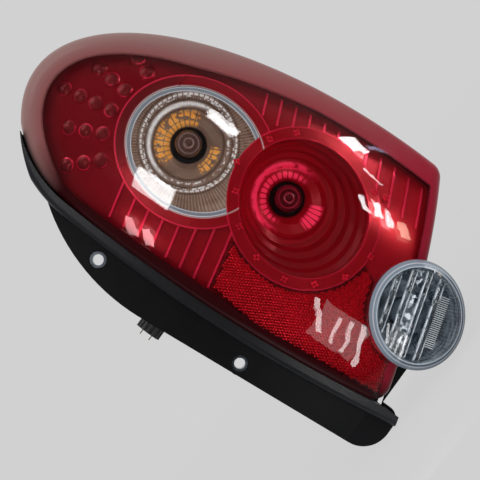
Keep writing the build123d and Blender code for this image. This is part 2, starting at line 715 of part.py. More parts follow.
def make_reflector_frame():
    edge = LENS_T + FRAME_SIDE_GAP
    frame = domed_body(outline(edge, edge), edge, RIM_Y, LENS_EDGE_R - edge)
    frame &= slab(planform(0), FRAME_FRONT, RIM_Y)
    frame -= slab(pod_oval(FIT_GAP), -FAR, FAR)
    for at in (INDICATOR_BULB_AT, STOP_BULB_AT):
        frame -= rod(at, BULB_HOLE_R - BOWL_T, -FAR, FAR)
    for at in screw_places():
        frame -= rod(at, SCREW_R + SEAT_GAP, -FAR, FAR)
    window = Pos(TAIL_WINDOW_X, TAIL_Z) * RectangleRounded(TAIL_WINDOW_W, TAIL_WINDOW_H, BOWL_T)
    return frame - slab(window, -FAR, FAR)


def screw_places():
    """Places on the housing's ledge, hidden under the inner lens."""
    places = []
    for angle in SCREW_ANGLES:
        turn = math.radians(angle)
        x = OUTLINE_X + (OUTLINE_HALF_X - SCREW_INSET) * math.cos(turn)
        z = OUTLINE_Z + (OUTLINE_HALF_Z - SCREW_INSET) * math.sin(turn)
        places.append((x, z))
    return places


def make_frame_screws():
    screws = []
    for at in screw_places():
        shank = rod(at, SCREW_R, FRAME_FRONT, FRAME_FRONT + SCREW_L)
        screws.append(shank + rod(at, SCREW_HEAD_R, FRAME_FRONT - SCREW_HEAD_T, FRAME_FRONT))
    return Compound(screws)


def make_body_gasket():
    """Foam ring behind the housing's lip."""
    edge = -SKIRT_GAP - SKIRT_T + GASKET_EDGE
    side = LIP_EDGE_GAP + GASKET_EDGE
    ring = outline(edge, side) - outline(edge + GASKET_W, side + GASKET_W)
    ring -= pod_oval(FIT_GAP)
    return slab(ring, LIP_BACK, LIP_BACK + GASKET_T)


def make_locating_studs():
    studs = []
    for at in STUD_AT:
        boss_end = TUB_BACK_Y + STUD_BOSS_L
        collar_end = boss_end + STUD_COLLAR_T
        stud = rod(at, STUD_SHANK_R, TUB_BACK_Y, collar_end + STUD_NECK_L)
        stud += rod(at, STUD_COLLAR_R, boss_end, collar_end)
        studs.append(stud + Pos(at[0], collar_end + STUD_NECK_L, at[1]) * Sphere(STUD_BALL_R))
    return Compound(studs)


def make_vent_cap():
    shank = rod(VENT_AT, VENT_SHANK_R, TUB_BACK_Y - TUB_T, TUB_BACK_Y)
    cap = rod(VENT_AT, VENT_CAP_R, TUB_BACK_Y, TUB_BACK_Y + VENT_CAP_T)
    rear = cap.edges().sort_by(Axis.Y)[-1]
    return shank + fillet(rear, VENT_CAP_T / 3)


def make_contact_blades():
    blades = tail_blades(0)
    for at in lamp_bulbs().values():
        blades += blade_slots(at, 0)
    return Compound(blades)


def make_parts():
    x_wall = tail_wall_x()
    x_seat = x_wall - TUB_T
    parts = {
        "outer_lens": make_outer_lens(),
        "inner_lens": make_inner_lens(),
        "indicator_window": make_indicator_window(),
        "reflex_panel": make_reflex_panel(),
        "indicator_reflector": make_indicator_reflector(),
        "stop_reflector": make_stop_reflector(),
        "reverse_lens": make_reverse_lens(),
        "reverse_optic": make_reverse_optic(),
        "reverse_reflector": make_reverse_reflector(),
        "reflector_frame": make_reflector_frame(),
        "frame_screws": make_frame_screws(),
        "rear_housing": make_rear_housing(x_wall),
        "bolt_sleeves": make_bolt_sleeves(),
        "edge_seal": make_edge_seal(),
        "body_gasket": make_body_gasket(),
        "locating_studs": make_locating_studs(),
        "vent_cap": make_vent_cap(),
        "contact_blades": make_contact_blades(),
        "tail_bulb": make_tail_glass(x_seat),
        "tail_bulb_cap": make_tail_cap(x_seat),
        "tail_holder": make_tail_holder(x_seat),
        "tail_holder_seal": make_tail_seal(x_seat),
    }
    for name, at in lamp_bulbs().items():
        parts[name + "_bulb"] = make_bulb_glass(at)
        parts[name + "_bulb_cap"] = make_bulb_cap(at)
        parts[name + "_holder"] = make_holder(at)
        parts[name + "_holder_seal"] = make_holder_seal(at)
    return parts


os.makedirs("parts", exist_ok=True)
for node, solid in make_parts().items():
    export_step(solid, os.path.join("parts", node + ".step"))
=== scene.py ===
import math

import bpy
from mathutils import Matrix, Vector


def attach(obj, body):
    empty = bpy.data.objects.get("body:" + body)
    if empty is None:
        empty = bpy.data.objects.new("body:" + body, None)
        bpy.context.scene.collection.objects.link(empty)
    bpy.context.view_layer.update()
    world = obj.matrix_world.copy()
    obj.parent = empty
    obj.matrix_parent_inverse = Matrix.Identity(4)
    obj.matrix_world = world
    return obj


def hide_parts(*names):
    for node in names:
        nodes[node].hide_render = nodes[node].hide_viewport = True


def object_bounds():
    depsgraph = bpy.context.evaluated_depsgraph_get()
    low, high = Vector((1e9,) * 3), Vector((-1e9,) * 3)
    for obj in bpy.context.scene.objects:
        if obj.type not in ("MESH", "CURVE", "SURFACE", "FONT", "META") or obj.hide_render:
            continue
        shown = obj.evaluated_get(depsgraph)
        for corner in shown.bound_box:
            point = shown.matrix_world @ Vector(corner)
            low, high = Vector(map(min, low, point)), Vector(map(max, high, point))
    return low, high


# The lamp's frame: X outboard, Y forwards into the car, Z up; lengths in metres
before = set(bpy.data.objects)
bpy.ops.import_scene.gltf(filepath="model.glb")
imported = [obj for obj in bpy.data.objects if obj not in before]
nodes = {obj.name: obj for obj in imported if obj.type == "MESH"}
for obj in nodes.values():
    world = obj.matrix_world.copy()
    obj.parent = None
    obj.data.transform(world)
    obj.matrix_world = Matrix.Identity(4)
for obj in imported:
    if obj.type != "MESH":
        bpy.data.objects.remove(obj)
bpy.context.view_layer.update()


def rgb(red, green, blue):
    """Colour that isn't see-through."""
    return (red, green, blue, 1.0)


def grey(level):
    return rgb(level, level, level)


# Camera
CAMERA_TARGET = Vector((0.0789, -0.028, -0.0114))
CAMERA_DISTANCE = 1.0113
CAMERA_AZIMUTH = math.radians(-2.276)
CAMERA_ELEVATION = math.radians(1.413)
CAMERA_ROLL = math.radians(53.689)
CAMERA_LENS = 96.51
CAMERA_NEAR = 0.01
SENSOR_WIDTH = 36.0

# Lamp shapes that the scene's own pieces sit on
DOME_AT = Vector((0.100, 0.050, -0.040))
DOME_HALVES = Vector((0.163, 0.100, 0.330))
INNER_GAP = 0.011
DISC_GAP = 0.006
REFLEX_GAP = 0.0085
INDICATOR_BULB_AT = (0.1185, 0.0675)
STOP_BULB_AT = (0.131, -0.024)
REVERSE_AT = (0.1124, -0.1555)

# Outline of the lens in X and Z: its ellipse, the arc round its nose and the arc of its low end
OUTLINE_AT = (0.0936, -0.0944)
OUTLINE_HALVES = (0.1285, 0.2948)
NOSE_AT = (0.1217, 0.1128)
NOSE_R = 0.100
LOW_ARC_AT = (-0.3802, 1.1669)
LOW_ARC_R = 1.4119

# Ovals in X and Z: centre, half sizes, turn of the long axis in degrees
WINDOW_OVAL = ((0.1135, 0.058), (0.0565, 0.049), 90.0)
WINDOW_RING = ((0.1135, 0.058), (0.066, 0.0585), 90.0)
STOP_OVAL = ((0.128, -0.0367), (0.0557, 0.050), 62.0)
STOP_DISC = ((0.128, -0.0367), (0.0662, 0.0605), 62.0)
REVERSE_RIM = (REVERSE_AT, (0.0438, 0.0384), 37.0)

# Studs on the stop lamp's ring
STUD_PLACES = (
    (0.1257, 0.0269), (0.1067, 0.0140), (0.0863, -0.0047), (0.0749, -0.0293),
    (0.0739, -0.0566), (0.0849, -0.0780), (0.1033, -0.0941), (0.1281, -0.1009),
    (0.1727, 0.0026), (0.1734, -0.0845), (0.1715, -0.0741), (0.1556, 0.0163),
)
STUD_LOBES = 4
STUD_LOBE_R = 0.0012
STUD_LOBE_REACH = 0.0018
STUD_RISE_SHARE = 0.7
STUD_SEGMENTS = 16
STUD_RINGS = 10

# Prisms of the reflex panel
PRISM_SIDES = 6
PRISM_PITCH = 0.0025
PRISM_R = 0.00142
PRISM_RISE = 0.0007
PRISM_TOP_SHARE = 0.3
PRISM_MARGIN = 0.0014
REFLEX_CORNERS = (
    (0.036, -0.015), (0.076, -0.007), (0.120, -0.100),
    (0.096, -0.160), (0.045, -0.171), (0.031, -0.060),
)

# The reversing lamp's optic: an oval plate with bars across it
OPTIC_OVAL = (REVERSE_AT, (0.0366, 0.0312), 37.0)
OPTIC_SIDES = 72
OPTIC_BACK_Y = -0.0489
OPTIC_T = 0.003
OPTIC_EDGE_R = 0.0006
BAR_TURN = math.radians(17.0)
BAR_PLACES = (0.0237, 0.0130, 0.0013, -0.0098)
BAR_WIDTH = 0.0048
BAR_HEIGHT = 0.0030
BAR_MARGIN = 0.0025
BAR_ROUND = BAR_HEIGHT * 0.45
BAR_ROUND_SEGMENTS = 4
BAR_STAND = BAR_HEIGHT * 0.25
BAR_SMOOTH = math.radians(40.0)

# Fine teeth beside the optic's last bar
TOOTH_COUNT = 26
TOOTH_PITCH = 0.0016
TOOTH_LENGTH = 0.0075
TOOTH_WIDTH = 0.0007
TOOTH_HEIGHT = 0.0024
TOOTH_ROUND = TOOTH_WIDTH * 0.3
TOOTH_ROUND_SEGMENTS = 2
TOOTH_FOOT_Y = -0.0517
TEETH_AT = (0.1162, -0.1706)

# Painted glints on the optic: beside each bar, and in a band between two bars (middle and half width), and
# the painted shade behind its teeth
GLINT_OFF = 0.0019
GLINT_HALF = 0.0006
SPARK_BAND = (0.0072, 0.0050)
TEETH_SHADE_HALVES = (TOOTH_COUNT * TOOTH_PITCH * 0.52, 0.0048)

# Border of the outer lens: its width, then stretches of Z over which the width changes (start, end, change)
OUTER_BORDER = (0.0195, ((0.0, 0.09, 0.0045), (0.10, 0.17, -0.0040)))
INNER_BORDER = (0.008, ((0.12, 0.18, 0.009), (0.05, -0.02, 0.004), (-0.055, -0.165, 0.0115)))

# Stretches over which the border fades, over which its painted sheen darkens further in from the edge and
# pales towards the nose, and over which it darkens inboard
LOW_BORDER_FADE = (0.0105, 0.0085)
BORDER_FADE = (1.0, 0.88)
BORDER_SHADING = (0.1, 0.95)
BORDER_SHEEN_Z = (-0.10, 0.12)
INBOARD_X = (0.060, 0.045)
INBOARD_Z = (0.165, 0.125)

# Features of the inner lens: where its nose starts in Z, and their rise over its dome in millimetres, which
# also place the painted highlights round the beads and on the ribs
NOSE_Z = (0.095, 0.105)
RISE_SCALE = 95.0
BEAD_RISE = (0.2, 0.8)
RIM_RISE = (0.5, 0.5)
RIB_FOOT = (0.6, 1.0)
RIB_TOP = (2.7, 2.3)

# Rings round a bulb's axis: radius and half width. Many of them place painted light in the bowls: painted
# shade in grooves and step lines, painted highlights and the indicator's painted amber reflections; the two
# hole sizes give the radii over which the painted shade round a bulb hole fades in
BULB_TIP_RING = (0.0038, 0.0009)
BULB_CELL_RING = (0.0082, 0.0012)
INDICATOR_GROOVES = ((0.0290, 0.0016), (0.0355, 0.0016), (0.0410, 0.0012))
CRESCENT_HIGHLIGHT_RING = (0.0323, 0.0022)
DASH_RINGS = ((0.0323, 0.0016), (0.0370, 0.0012))
DOT_RING = (0.0388, 0.0011)
AMBER_ABOVE = (0.0220, 0.0072)
AMBER_BELOW = (0.0225, 0.0050)
AMBER_PARTING = (0.0204, 0.0011)
STOP_SHADE_LINES = ((0.0330, 0.0015), (0.0385, 0.0015), (0.0440, 0.0015))
STOP_NEAR_RING = (0.0200, 0.0035)
STOP_FAR_RING = (0.0275, 0.0034)
STOP_FAN_RING = (0.0250, 0.0065)
INDICATOR_HOLE = (0.0158, 0.0148)
STOP_HOLE = (0.0158, 0.0146)

# Flutes and cells round a bulb's axis; the dot, amber, near and fan cells break up painted highlights and
# reflections
FLUTE_FADE = (0.012, 0.03)
INDICATOR_FLUTES = 120.0
REVERSE_FLUTES = 70.0
BULB_CELLS = 24.0
DOT_CELLS = 56.0
AMBER_CELLS = 30.0
STOP_NEAR_CELLS = 28.0
STOP_FAN_CELLS = 40.0

# Clear plastic and glass
LENS_TINT = rgb(0.97, 0.97, 0.975)
OPTIC_TINT = rgb(0.94, 0.96, 0.97)
BULB_TINT = rgb(0.97, 0.98, 0.98)
RED_TINT = rgb(0.62, 0.04, 0.07)
AMBER_TINT = rgb(0.95, 0.42, 0.06)
LENS_IOR = 1.49
GLASS_IOR = 1.5
POLISHED = 0.01
COATED = 0.03
COAT_SHARE = 0.65
RIPPLE_SCALE = 100.0
RIPPLE_DEPTH = 0.00007
DUST_SCALE = 90.0
DUST_DETAIL = 6.0
DUST_RANGE = (0.62, 0.9)
DUST_ROUGH = 0.05

# Colours of the lenses, low and high where there are two
BORDER_RED = rgb(0.260, 0.010, 0.026)
# Painted sheen of the border: the bright room mirrored along its curved edge, paler at the edge and darker
# further in
BORDER_SHEENS = (rgb(0.220, 0.132, 0.122), rgb(0.178, 0.052, 0.053))
BORDER_INBOARD = rgb(0.022, 0.002, 0.003)
# Grey of the indicator window's step and of the painted highlight lines on it
STEP_GREY_AND_HIGHLIGHT = (rgb(0.20, 0.22, 0.25), rgb(0.78, 0.82, 0.86))
# Grey of the reversing lamp's wall and of its painted highlight lines, and its painted dark line of shade
WALL_GREY_AND_HIGHLIGHT = (rgb(0.22, 0.27, 0.33), rgb(0.60, 0.68, 0.75))
WALL_SHADE_LINE = rgb(0.008, 0.010, 0.014)
# Painted glints of the optic, and the painted shade behind its teeth
GLINTS = (rgb(0.55, 0.66, 0.76), rgb(0.98, 1.0, 1.0))
TEETH_PAINTED_SHADE = (rgb(0.010, 0.014, 0.018), rgb(0.030, 0.038, 0.046))
LENS_REDS = (rgb(0.24, 0.002, 0.008), rgb(0.48, 0.002, 0.012))
DISC_RED = rgb(0.37, 0.001, 0.008)
BEAD_RED = rgb(0.16, 0.001, 0.004)
# Painted highlights of the inner lens: bright red on its ribs and edges, pale pink round the indicator
# window
RIB_HIGHLIGHT_RED = rgb(1.0, 0.02, 0.08)
WINDOW_RIM_HIGHLIGHT = rgb(0.75, 0.50, 0.50)
# The frame's own dark red, and the painted greyish sheen of its nose
FRAME_RED_AND_SHEEN = (rgb(0.085, 0.008, 0.010), rgb(0.16, 0.070, 0.068))
REFLEX_REDS = (rgb(0.10, 0.001, 0.002), rgb(0.15, 0.001, 0.003))
PRISM_REDS = (rgb(0.34, 0.001, 0.006), rgb(0.52, 0.002, 0.012))
STUD_REDS = (rgb(0.34, 0.002, 0.008), rgb(0.90, 0.015, 0.050))

# Colours of the bowls and bulbs, low and high where there are two
AMBER_BULB = (rgb(0.17, 0.080, 0.064), rgb(0.62, 0.45, 0.40))
RED_BULB = (rgb(0.09, 0.002, 0.006), rgb(0.55, 0.03, 0.07))
INDICATOR_BROWNS = (rgb(0.26, 0.14, 0.085), rgb(0.68, 0.50, 0.40))
# Painted shade in the indicator bowl's grooves and round its bulb hole, its painted highlight, and its
# painted amber reflections and their glow
INDICATOR_GROOVE_SHADE = rgb(0.14, 0.080, 0.055)
INDICATOR_HIGHLIGHT = rgb(0.95, 0.93, 0.90)
INDICATOR_HOLE_SHADE = rgb(0.030, 0.030, 0.034)
AMBER_REFLECTIONS = (rgb(1.0, 0.42, 0.04), rgb(1.0, 0.74, 0.30))
AMBER_REFLECTION_GLOW = rgb(1.0, 0.36, 0.04)
HIGHLIGHT_GLOW = grey(0.9)
# Shaded and lit reds of the stop bowl, its painted highlight and its glow, and the painted shade round its
# bulb hole
STOP_SHADED_AND_LIT_REDS = (rgb(0.22, 0.001, 0.005), rgb(0.52, 0.002, 0.012))
STOP_HIGHLIGHT = rgb(1.0, 0.04, 0.12)
STOP_HIGHLIGHT_GLOW = rgb(1.0, 0.02, 0.08)
STOP_HOLE_SHADE = rgb(0.020, 0.001, 0.002)
# Painted dark reflections and the bright grey of the reversing bowl
REVERSE_DARK_REFLECTION_AND_GREY = (rgb(0.17, 0.21, 0.26), rgb(0.84, 0.92, 0.98))
NO_GLOW = grey(0.0)

# Moulded finishes: low and high colour, roughness and its swing, scale and depth of the grain, fixed sockets
MOTTLE_SCALE = 60.0
GLOSS_SCALE = 240.0
METAL = {"Metallic": 1.0}
FINISHES = {
    "pearl_glass": (rgb(0.26, 0.32, 0.38), rgb(0.60, 0.68, 0.76), 0.12, 0.06, 200.0, 0.00010, {}),
    "housing_black": (
        rgb(0.0025, 0.0028, 0.0036), rgb(0.005, 0.0053, 0.0068), 0.48, 0.14, 1500.0, 0.00006,
        {"Specular IOR Level": 0.2},
    ),
    "seal_rubber": (rgb(0.008, 0.009, 0.011), rgb(0.013, 0.014, 0.017), 0.38, 0.12, 900.0, 0.00004, {}),
    "gasket_foam": (rgb(0.014, 0.014, 0.015), rgb(0.032, 0.032, 0.034), 0.9, 0.1, 700.0, 0.0004, {}),
    "plated_steel": (rgb(0.12, 0.14, 0.17), rgb(0.22, 0.25, 0.29), 0.3, 0.16, 800.0, 0.00003, METAL),
    "natural_nylon": (rgb(0.55, 0.52, 0.45), rgb(0.66, 0.63, 0.56), 0.45, 0.1, 600.0, 0.00004, {}),
    "contact_brass": (rgb(0.62, 0.46, 0.22), rgb(0.78, 0.62, 0.34), 0.28, 0.16, 700.0, 0.00003, METAL),
    "nickel_cap": (rgb(0.56, 0.53, 0.48), rgb(0.72, 0.69, 0.63), 0.26, 0.14, 700.0, 0.00003, METAL),
    "holder_grey": (rgb(0.035, 0.035, 0.038), rgb(0.060, 0.060, 0.064), 0.5, 0.12, 900.0, 0.00006, {}),
    "holder_black": (rgb(0.018, 0.018, 0.020), rgb(0.032, 0.032, 0.035), 0.45, 0.12, 900.0, 0.00006, {}),
    "pale_teeth": (rgb(0.30, 0.34, 0.38), rgb(0.66, 0.72, 0.77), 0.14, 0.08, 900.0, 0.00002, {}),
}
FINISHED_NODES = {
    "pearl_glass": ("reverse_bulb",),
    "housing_black": ("rear_housing",),
    "seal_rubber": (
        "edge_seal", "vent_cap", "tail_holder_seal",
        "indicator_holder_seal", "stop_holder_seal", "reverse_holder_seal",
    ),
    "gasket_foam": ("body_gasket",),
    "plated_steel": ("bolt_sleeves", "frame_screws"),
    "natural_nylon": ("locating_studs",),
    "contact_brass": ("contact_blades",),
    "nickel_cap": ("tail_bulb_cap", "indicator_bulb_cap", "stop_bulb_cap", "reverse_bulb_cap"),
    "holder_grey": ("indicator_holder", "stop_holder", "reverse_holder"),
    "holder_black": ("tail_holder",),
}

# Floor and background
FLOOR_SIZE = 6.0
FLOOR_DROP = 0.001
FLOOR_GREYS = (grey(0.42), grey(0.46))
FLOOR_MOTTLE = 3.0
FLOOR_SEEN = 0.93
FLOOR_MIRROR_Y = (-0.15, 0.10)
FLOOR_FADE = (0.35, 1.6)
BACKDROP_GREY = grey(0.638)
FRONT_GREY = grey(0.012)
ROOM_LIGHT = grey(1.0)

# Directions over which the mirrored room pales: from the front, from below, from inboard, to the back
ROOM_FRONT = (-0.80, -0.30)
ROOM_BELOW = (-0.2, 0.5)
ROOM_BELOW_SHARE = 0.15
ROOM_INBOARD = (-0.6, -0.1)
ROOM_INBOARD_SHARE = 0.2
ROOM_BACK = (0.1, 0.6)

# Soft lamps: place, side along the width, side along the height, brightness, tint
WHITE = (1.0, 1.0, 1.0)
VIOLET = (0.72, 0.66, 1.0)
WARM = (1.0, 0.82, 0.62)
PINK = (1.0, 0.55, 0.58)
LAMPS = {
    "tube_a": ((0.028, -0.208, -0.130), (0.004, 0.001, -0.007), (-0.055, 0.015, -0.010), 5.5, WHITE),
    "tube_b": ((0.026, -0.205, -0.155), (0.001, 0.001, -0.005), (-0.051, 0.015, -0.008), 5.0, WHITE),
    "tube_c": ((0.026, -0.202, -0.172), (0.001, 0.001, -0.005), (-0.060, 0.018, -0.010), 5.0, WHITE),
    "tube_d": ((0.028, -0.199, -0.190), (0.002, 0.001, -0.007), (-0.072, 0.024, -0.017), 5.5, WHITE),
    "tube_veil": ((0.025, -0.213, -0.163), (0.004, 0.017, -0.062), (-0.075, 0.020, -0.006), 0.9, WHITE),
    "outboard_patch": (
        (0.594, -0.320, -0.064), (0.032, 0.046, -0.029), (-0.002, 0.001, -0.046), 15.0, WHITE,
    ),
    "outboard_violet": (
        (0.645, -0.258, -0.113), (0.030, 0.060, -0.050), (-0.005, -0.004, -0.012), 6.0, VIOLET,
    ),
    "rib_cell_a": ((0.323, -0.288, -0.114), (0.005, 0.005, -0.009), (-0.028, -0.017, -0.011), 11.0, WHITE),
    "rib_cell_b": ((0.331, -0.281, -0.135), (0.004, 0.005, -0.010), (-0.029, -0.017, -0.015), 11.0, WHITE),
    "rib_cell_c": ((0.330, -0.279, -0.157), (0.003, 0.005, -0.011), (-0.032, -0.019, -0.017), 11.0, WHITE),
    "rib_cell_d": ((0.329, -0.275, -0.184), (0.006, 0.009, -0.015), (-0.030, -0.017, -0.016), 5.0, WARM),
    "thin_streak": ((0.536, -0.375, -0.129), (0.006, 0.006, -0.003), (0.003, 0.013, -0.051), 8.0, WHITE),
    "window_block": ((-0.016, -0.461, 0.181), (0.006, -0.023, -0.079), (-0.082, 0.015, -0.007), 6.0, WHITE),
    "window_wedge": ((0.340, -0.428, 0.146), (0.028, 0.012, -0.009), (-0.012, -0.020, -0.060), 8.0, WHITE),
    "inboard_cell_a": ((-0.159, -0.368, 0.163), (0.007, -0.009, -0.018), (-0.040, 0.023, -0.008), 6.0, PINK),
    "inboard_cell_b": ((-0.155, -0.377, 0.129), (0.007, -0.009, -0.018), (-0.040, 0.023, -0.008), 7.0, PINK),
    "top_softbox": ((0.20, -0.55, 1.10), (0.9, 0.0, 0.0), (0.0, 0.54, 0.27), 2.0, WHITE),
}


class Value:
    """A shader socket that takes Python arithmetic."""

    def __init__(self, look, socket):
        self.look = look
        self.socket = socket

    def math(self, operation, *values):
        """Value of a Math node on these values."""
        settings = {"operation": operation}
        return self.look.value("ShaderNodeMath", settings, dict(enumerate(values)))

    def __add__(self, other):
        return self.math("ADD", self, other)

    def __radd__(self, other):
        return self.math("ADD", other, self)

    def __sub__(self, other):
        return self.math("SUBTRACT", self, other)

    def __rsub__(self, other):
        return self.math("SUBTRACT", other, self)

    def __mul__(self, other):
        return self.math("MULTIPLY", self, other)

    def __rmul__(self, other):
        return self.math("MULTIPLY", other, self)

    def __truediv__(self, other):
        return self.math("DIVIDE", self, other)


class Look:
    """The procedural nodes of one material, or of the world."""

    def __init__(self, owner):
        owner.use_nodes = True
        self.owner = owner
        self.tree = owner.node_tree
        self.tree.nodes.clear()

    def node(self, kind, settings=None, values=None):
        """A node of that type, with its settings made first and then its sockets filled or linked."""
        made = self.tree.nodes.new(kind)
        for name, setting in (settings or {}).items():
            setattr(made, name, setting)
        for name, value in (values or {}).items():
            if isinstance(value, Value):
                self.tree.links.new(value.socket, made.inputs[name])
            else:
                made.inputs[name].default_value = value
        return made

    def value(self, kind, settings=None, values=None, output=0):
        """One output of a new node."""
        return Value(self, self.node(kind, settings, values).outputs[output])

    def place(self):
        """Object coordinates."""
        return self.value("ShaderNodeTexCoord", output="Object")

    def split(self, vector):
        """The three parts of a vector."""
        parts = self.node("ShaderNodeSeparateXYZ", values={0: vector})
        return [Value(self, parts.outputs[name]) for name in "XYZ"]

    def axes(self):
        """Object coordinates, one by one."""
        return self.split(self.place())

    def face(self):
        """Object coordinates over the lamp's face: outboard and up."""
        parts = self.axes()
        return parts[0], parts[2]

    def height(self):
        """Object coordinate up the lamp."""
        return self.axes()[2]

    def noise(self, scale, detail=3.0):
        sizes = {"Vector": self.place(), "Scale": scale, "Detail": detail}
        return self.value("ShaderNodeTexNoise", values=sizes)

    def dust(self):
        return self.noise(DUST_SCALE, DUST_DETAIL)

    def mix(self, share, low, high):
        """Colour between two colours."""
        settings = {"data_type": "RGBA"}
        return self.value("ShaderNodeMix", settings, {0: share, 6: low, 7: high}, output=2)

    def ramp(self, value, low, high):
        """Value brought from low..high to 0..1 and held there."""
        settings = {"clamp": True}
        return self.value("ShaderNodeMapRange", settings, {0: value, 1: low, 2: high})

    def ring(self, reach, middle, half):
        """One on a ring of that radius, falling to zero at half its width."""
        off = reach.math("ABSOLUTE", reach - middle)
        return self.ramp(off, half, 0.0)

    def rings(self, reach, sizes):
        """Several rings, each of its own radius and half width."""
        total = self.ring(reach, *sizes[0])
        for middle, half in sizes[1:]:
            total = total + self.ring(reach, middle, half)
        return total

    def bump(self, height, depth):
        return self.value("ShaderNodeBump", values={"Height": height, "Distance": depth})

    def grain(self, scale, depth, detail=2.0):
        """Fine grain as a bump."""
        return self.bump(self.noise(scale, detail), depth)

    def uneven(self, rough, swing, scale):
        """Roughness that grows by up to swing in places."""
        return rough + self.noise(scale) * swing

    def surface(self, values):
        """Principled shader with these sockets."""
        return self.value("ShaderNodeBsdfPrincipled", values=values)

    def blend(self, share, low, high):
        """Shader between two shaders."""
        return self.value("ShaderNodeMixShader", values={0: share, 1: low, 2: high})

    def done(self, shader):
        """The material or world, showing that shader."""
        kind = "World" if isinstance(self.owner, bpy.types.World) else "Material"
        self.node("ShaderNodeOutput" + kind, values={"Surface": shader})
        return self.owner


def paint(name):
    """Look of a new material."""
    return Look(bpy.data.materials.new(name))


def turned(aside, up, turn):
    """How far a place, given as numbers or shader values, lies along a line at that turn and across it."""
    along = aside * math.cos(turn) + up * math.sin(turn)
    across = up * math.cos(turn) - aside * math.sin(turn)
    return along, across


def moulded(name):
    """Opaque plastic, rubber or metal with mottled colour, uneven gloss and a fine grain."""
    low, high, rough, swing, grain, depth, fixed = FINISHES[name]
    look = paint(name)
    values = {
        "Base Color": look.mix(look.noise(MOTTLE_SCALE), low, high),
        "Roughness": rough + (look.noise(GLOSS_SCALE) - 0.5) * swing,
        "Normal": look.grain(grain, depth),
    }
    values.update(fixed)
    return look.done(look.surface(values))


def clear_body(look, tint, rough, ior, more=None):
    """Clear shader, dusty in places, that lets lamps through to what it covers."""
    values = {
        "Base Color": tint,
        "Roughness": rough + look.ramp(look.dust(), *DUST_RANGE) * DUST_ROUGH,
        "IOR": ior,
        "Transmission Weight": 1.0,
    }
    values.update(more or {})
    through = look.value("ShaderNodeBsdfTransparent", values={"Color": tint})
    shadow = look.value("ShaderNodeLightPath", output="Is Shadow Ray")
    return look.blend(shadow, look.surface(values), through)


def ripple(look):
    """Faint waves of a moulded face, which bend what it mirrors."""
    return {"Normal": look.grain(RIPPLE_SCALE, RIPPLE_DEPTH, 0.0)}


def bulb_glass():
    """Clear glass of a plain bulb."""
    look = paint("bulb_glass")
    return look.done(clear_body(look, BULB_TINT, POLISHED, GLASS_IOR))


def outline_gap(look):
    """Distance in from the round side of the lens's outline."""
    x, z = look.face()
    across = (x - OUTLINE_AT[0]) / OUTLINE_HALVES[0]
    up = (z - OUTLINE_AT[1]) / OUTLINE_HALVES[1]
    reach = up.math("SQRT", across * across + up * up)
    slope_x = across / OUTLINE_HALVES[0]
    slope_z = up / OUTLINE_HALVES[1]
    slope = up.math("SQRT", slope_x * slope_x + slope_z * slope_z)
    return (1.0 - reach) * reach / slope


def nose_gap(look):
    """Distance in from the lens's inboard side and the arc round its nose."""
    x, z = look.face()
    aside = x - NOSE_AT[0]
    up = z.math("MAXIMUM", z - NOSE_AT[1], 0.0)
    return NOSE_R - up.math("SQRT", aside * aside + up * up)


def low_gap(look):
    """Distance in from the lens's low end."""
    x, z = look.face()
    aside = x - LOW_ARC_AT[0]
    up = z - LOW_ARC_AT[1]
    return LOW_ARC_R - up.math("SQRT", aside * aside + up * up)


def border_width(look, border):
    """Width of a border that changes over stretches of height."""
    width, stretches = border
    for start, end, change in stretches:
        width = width + look.ramp(look.height(), start, end) * change
    return width


def outer_lens():
    """Clear over the front of the lens, with a dull red border and side wall that carry a painted
    pinkish-grey sheen round the nose, standing for the bright room mirrored along the curved edge.
    """
    look = paint("outer_lens")
    x, z = look.face()
    dust = look.dust()
    front = clear_body(look, LENS_TINT, POLISHED, LENS_IOR, ripple(look))
    outer_share = outline_gap(look) / border_width(look, OUTER_BORDER)
    inner_share = nose_gap(look) / border_width(look, INNER_BORDER)
    depth = outer_share.math("MINIMUM", outer_share, inner_share)
    # Painted sheen: pinkish grey, paler at the very edge, taking over from the red towards the nose
    pale = look.mix(look.ramp(depth, *BORDER_SHADING), *BORDER_SHEENS)
    nose = look.ramp(z + dust * 0.03, *BORDER_SHEEN_Z)
    border = look.mix(nose, BORDER_RED, pale)
    inboard = look.ramp(x, *INBOARD_X) * look.ramp(z, *INBOARD_Z)
    side = look.surface({
        "Base Color": look.mix(inboard, border, BORDER_INBOARD),
        "Roughness": 0.12 + dust * 0.08,
        "Specular IOR Level": 0.10,
    })
    low_edge = look.ramp(low_gap(look), *LOW_BORDER_FADE)
    edge = low_edge.math("MAXIMUM", low_edge, look.ramp(depth, *BORDER_FADE))
    return look.done(look.blend(edge, front, side))


def oval_reach(look, oval):
    """Distance from an oval's centre, as a share of the way to its edge."""
    x, z = look.face()
    at, halves, degrees = oval
    along, across = turned(x - at[0], z - at[1], math.radians(degrees))
    along_share = along / halves[0]
    across_share = across / halves[1]
    return along.math("SQRT", along_share * along_share + across_share * across_share)


def window_glass():
    """Clear indicator window with a pale step round its rim, on which two painted highlight lines run."""
    look = paint("window_glass")
    reach = oval_reach(look, WINDOW_OVAL)
    middle = clear_body(look, LENS_TINT, POLISHED, LENS_IOR)
    # Painted highlights: two pale lines round the step
    lines = look.rings(reach, ((0.925, 0.010), (0.985, 0.010)))
    step = look.surface({
        "Base Color": look.mix(lines, *STEP_GREY_AND_HIGHLIGHT),
        "Roughness": 0.10 + look.dust() * 0.10,
    })
    share = look.ramp(reach, 0.915, 0.930) * 0.8
    return look.done(look.blend(share, middle, step))


def dome_rise(look):
    """Height above the inner lens's own dome, in millimetres."""
    squares = []
    for value, middle, half in zip(look.axes(), DOME_AT, DOME_HALVES):
        share = (value - middle) / (half - INNER_GAP)
        squares.append(share * share)
    total = squares[0] + squares[1] + squares[2]
    return (total.math("SQRT", total) - 1.0) * RISE_SCALE


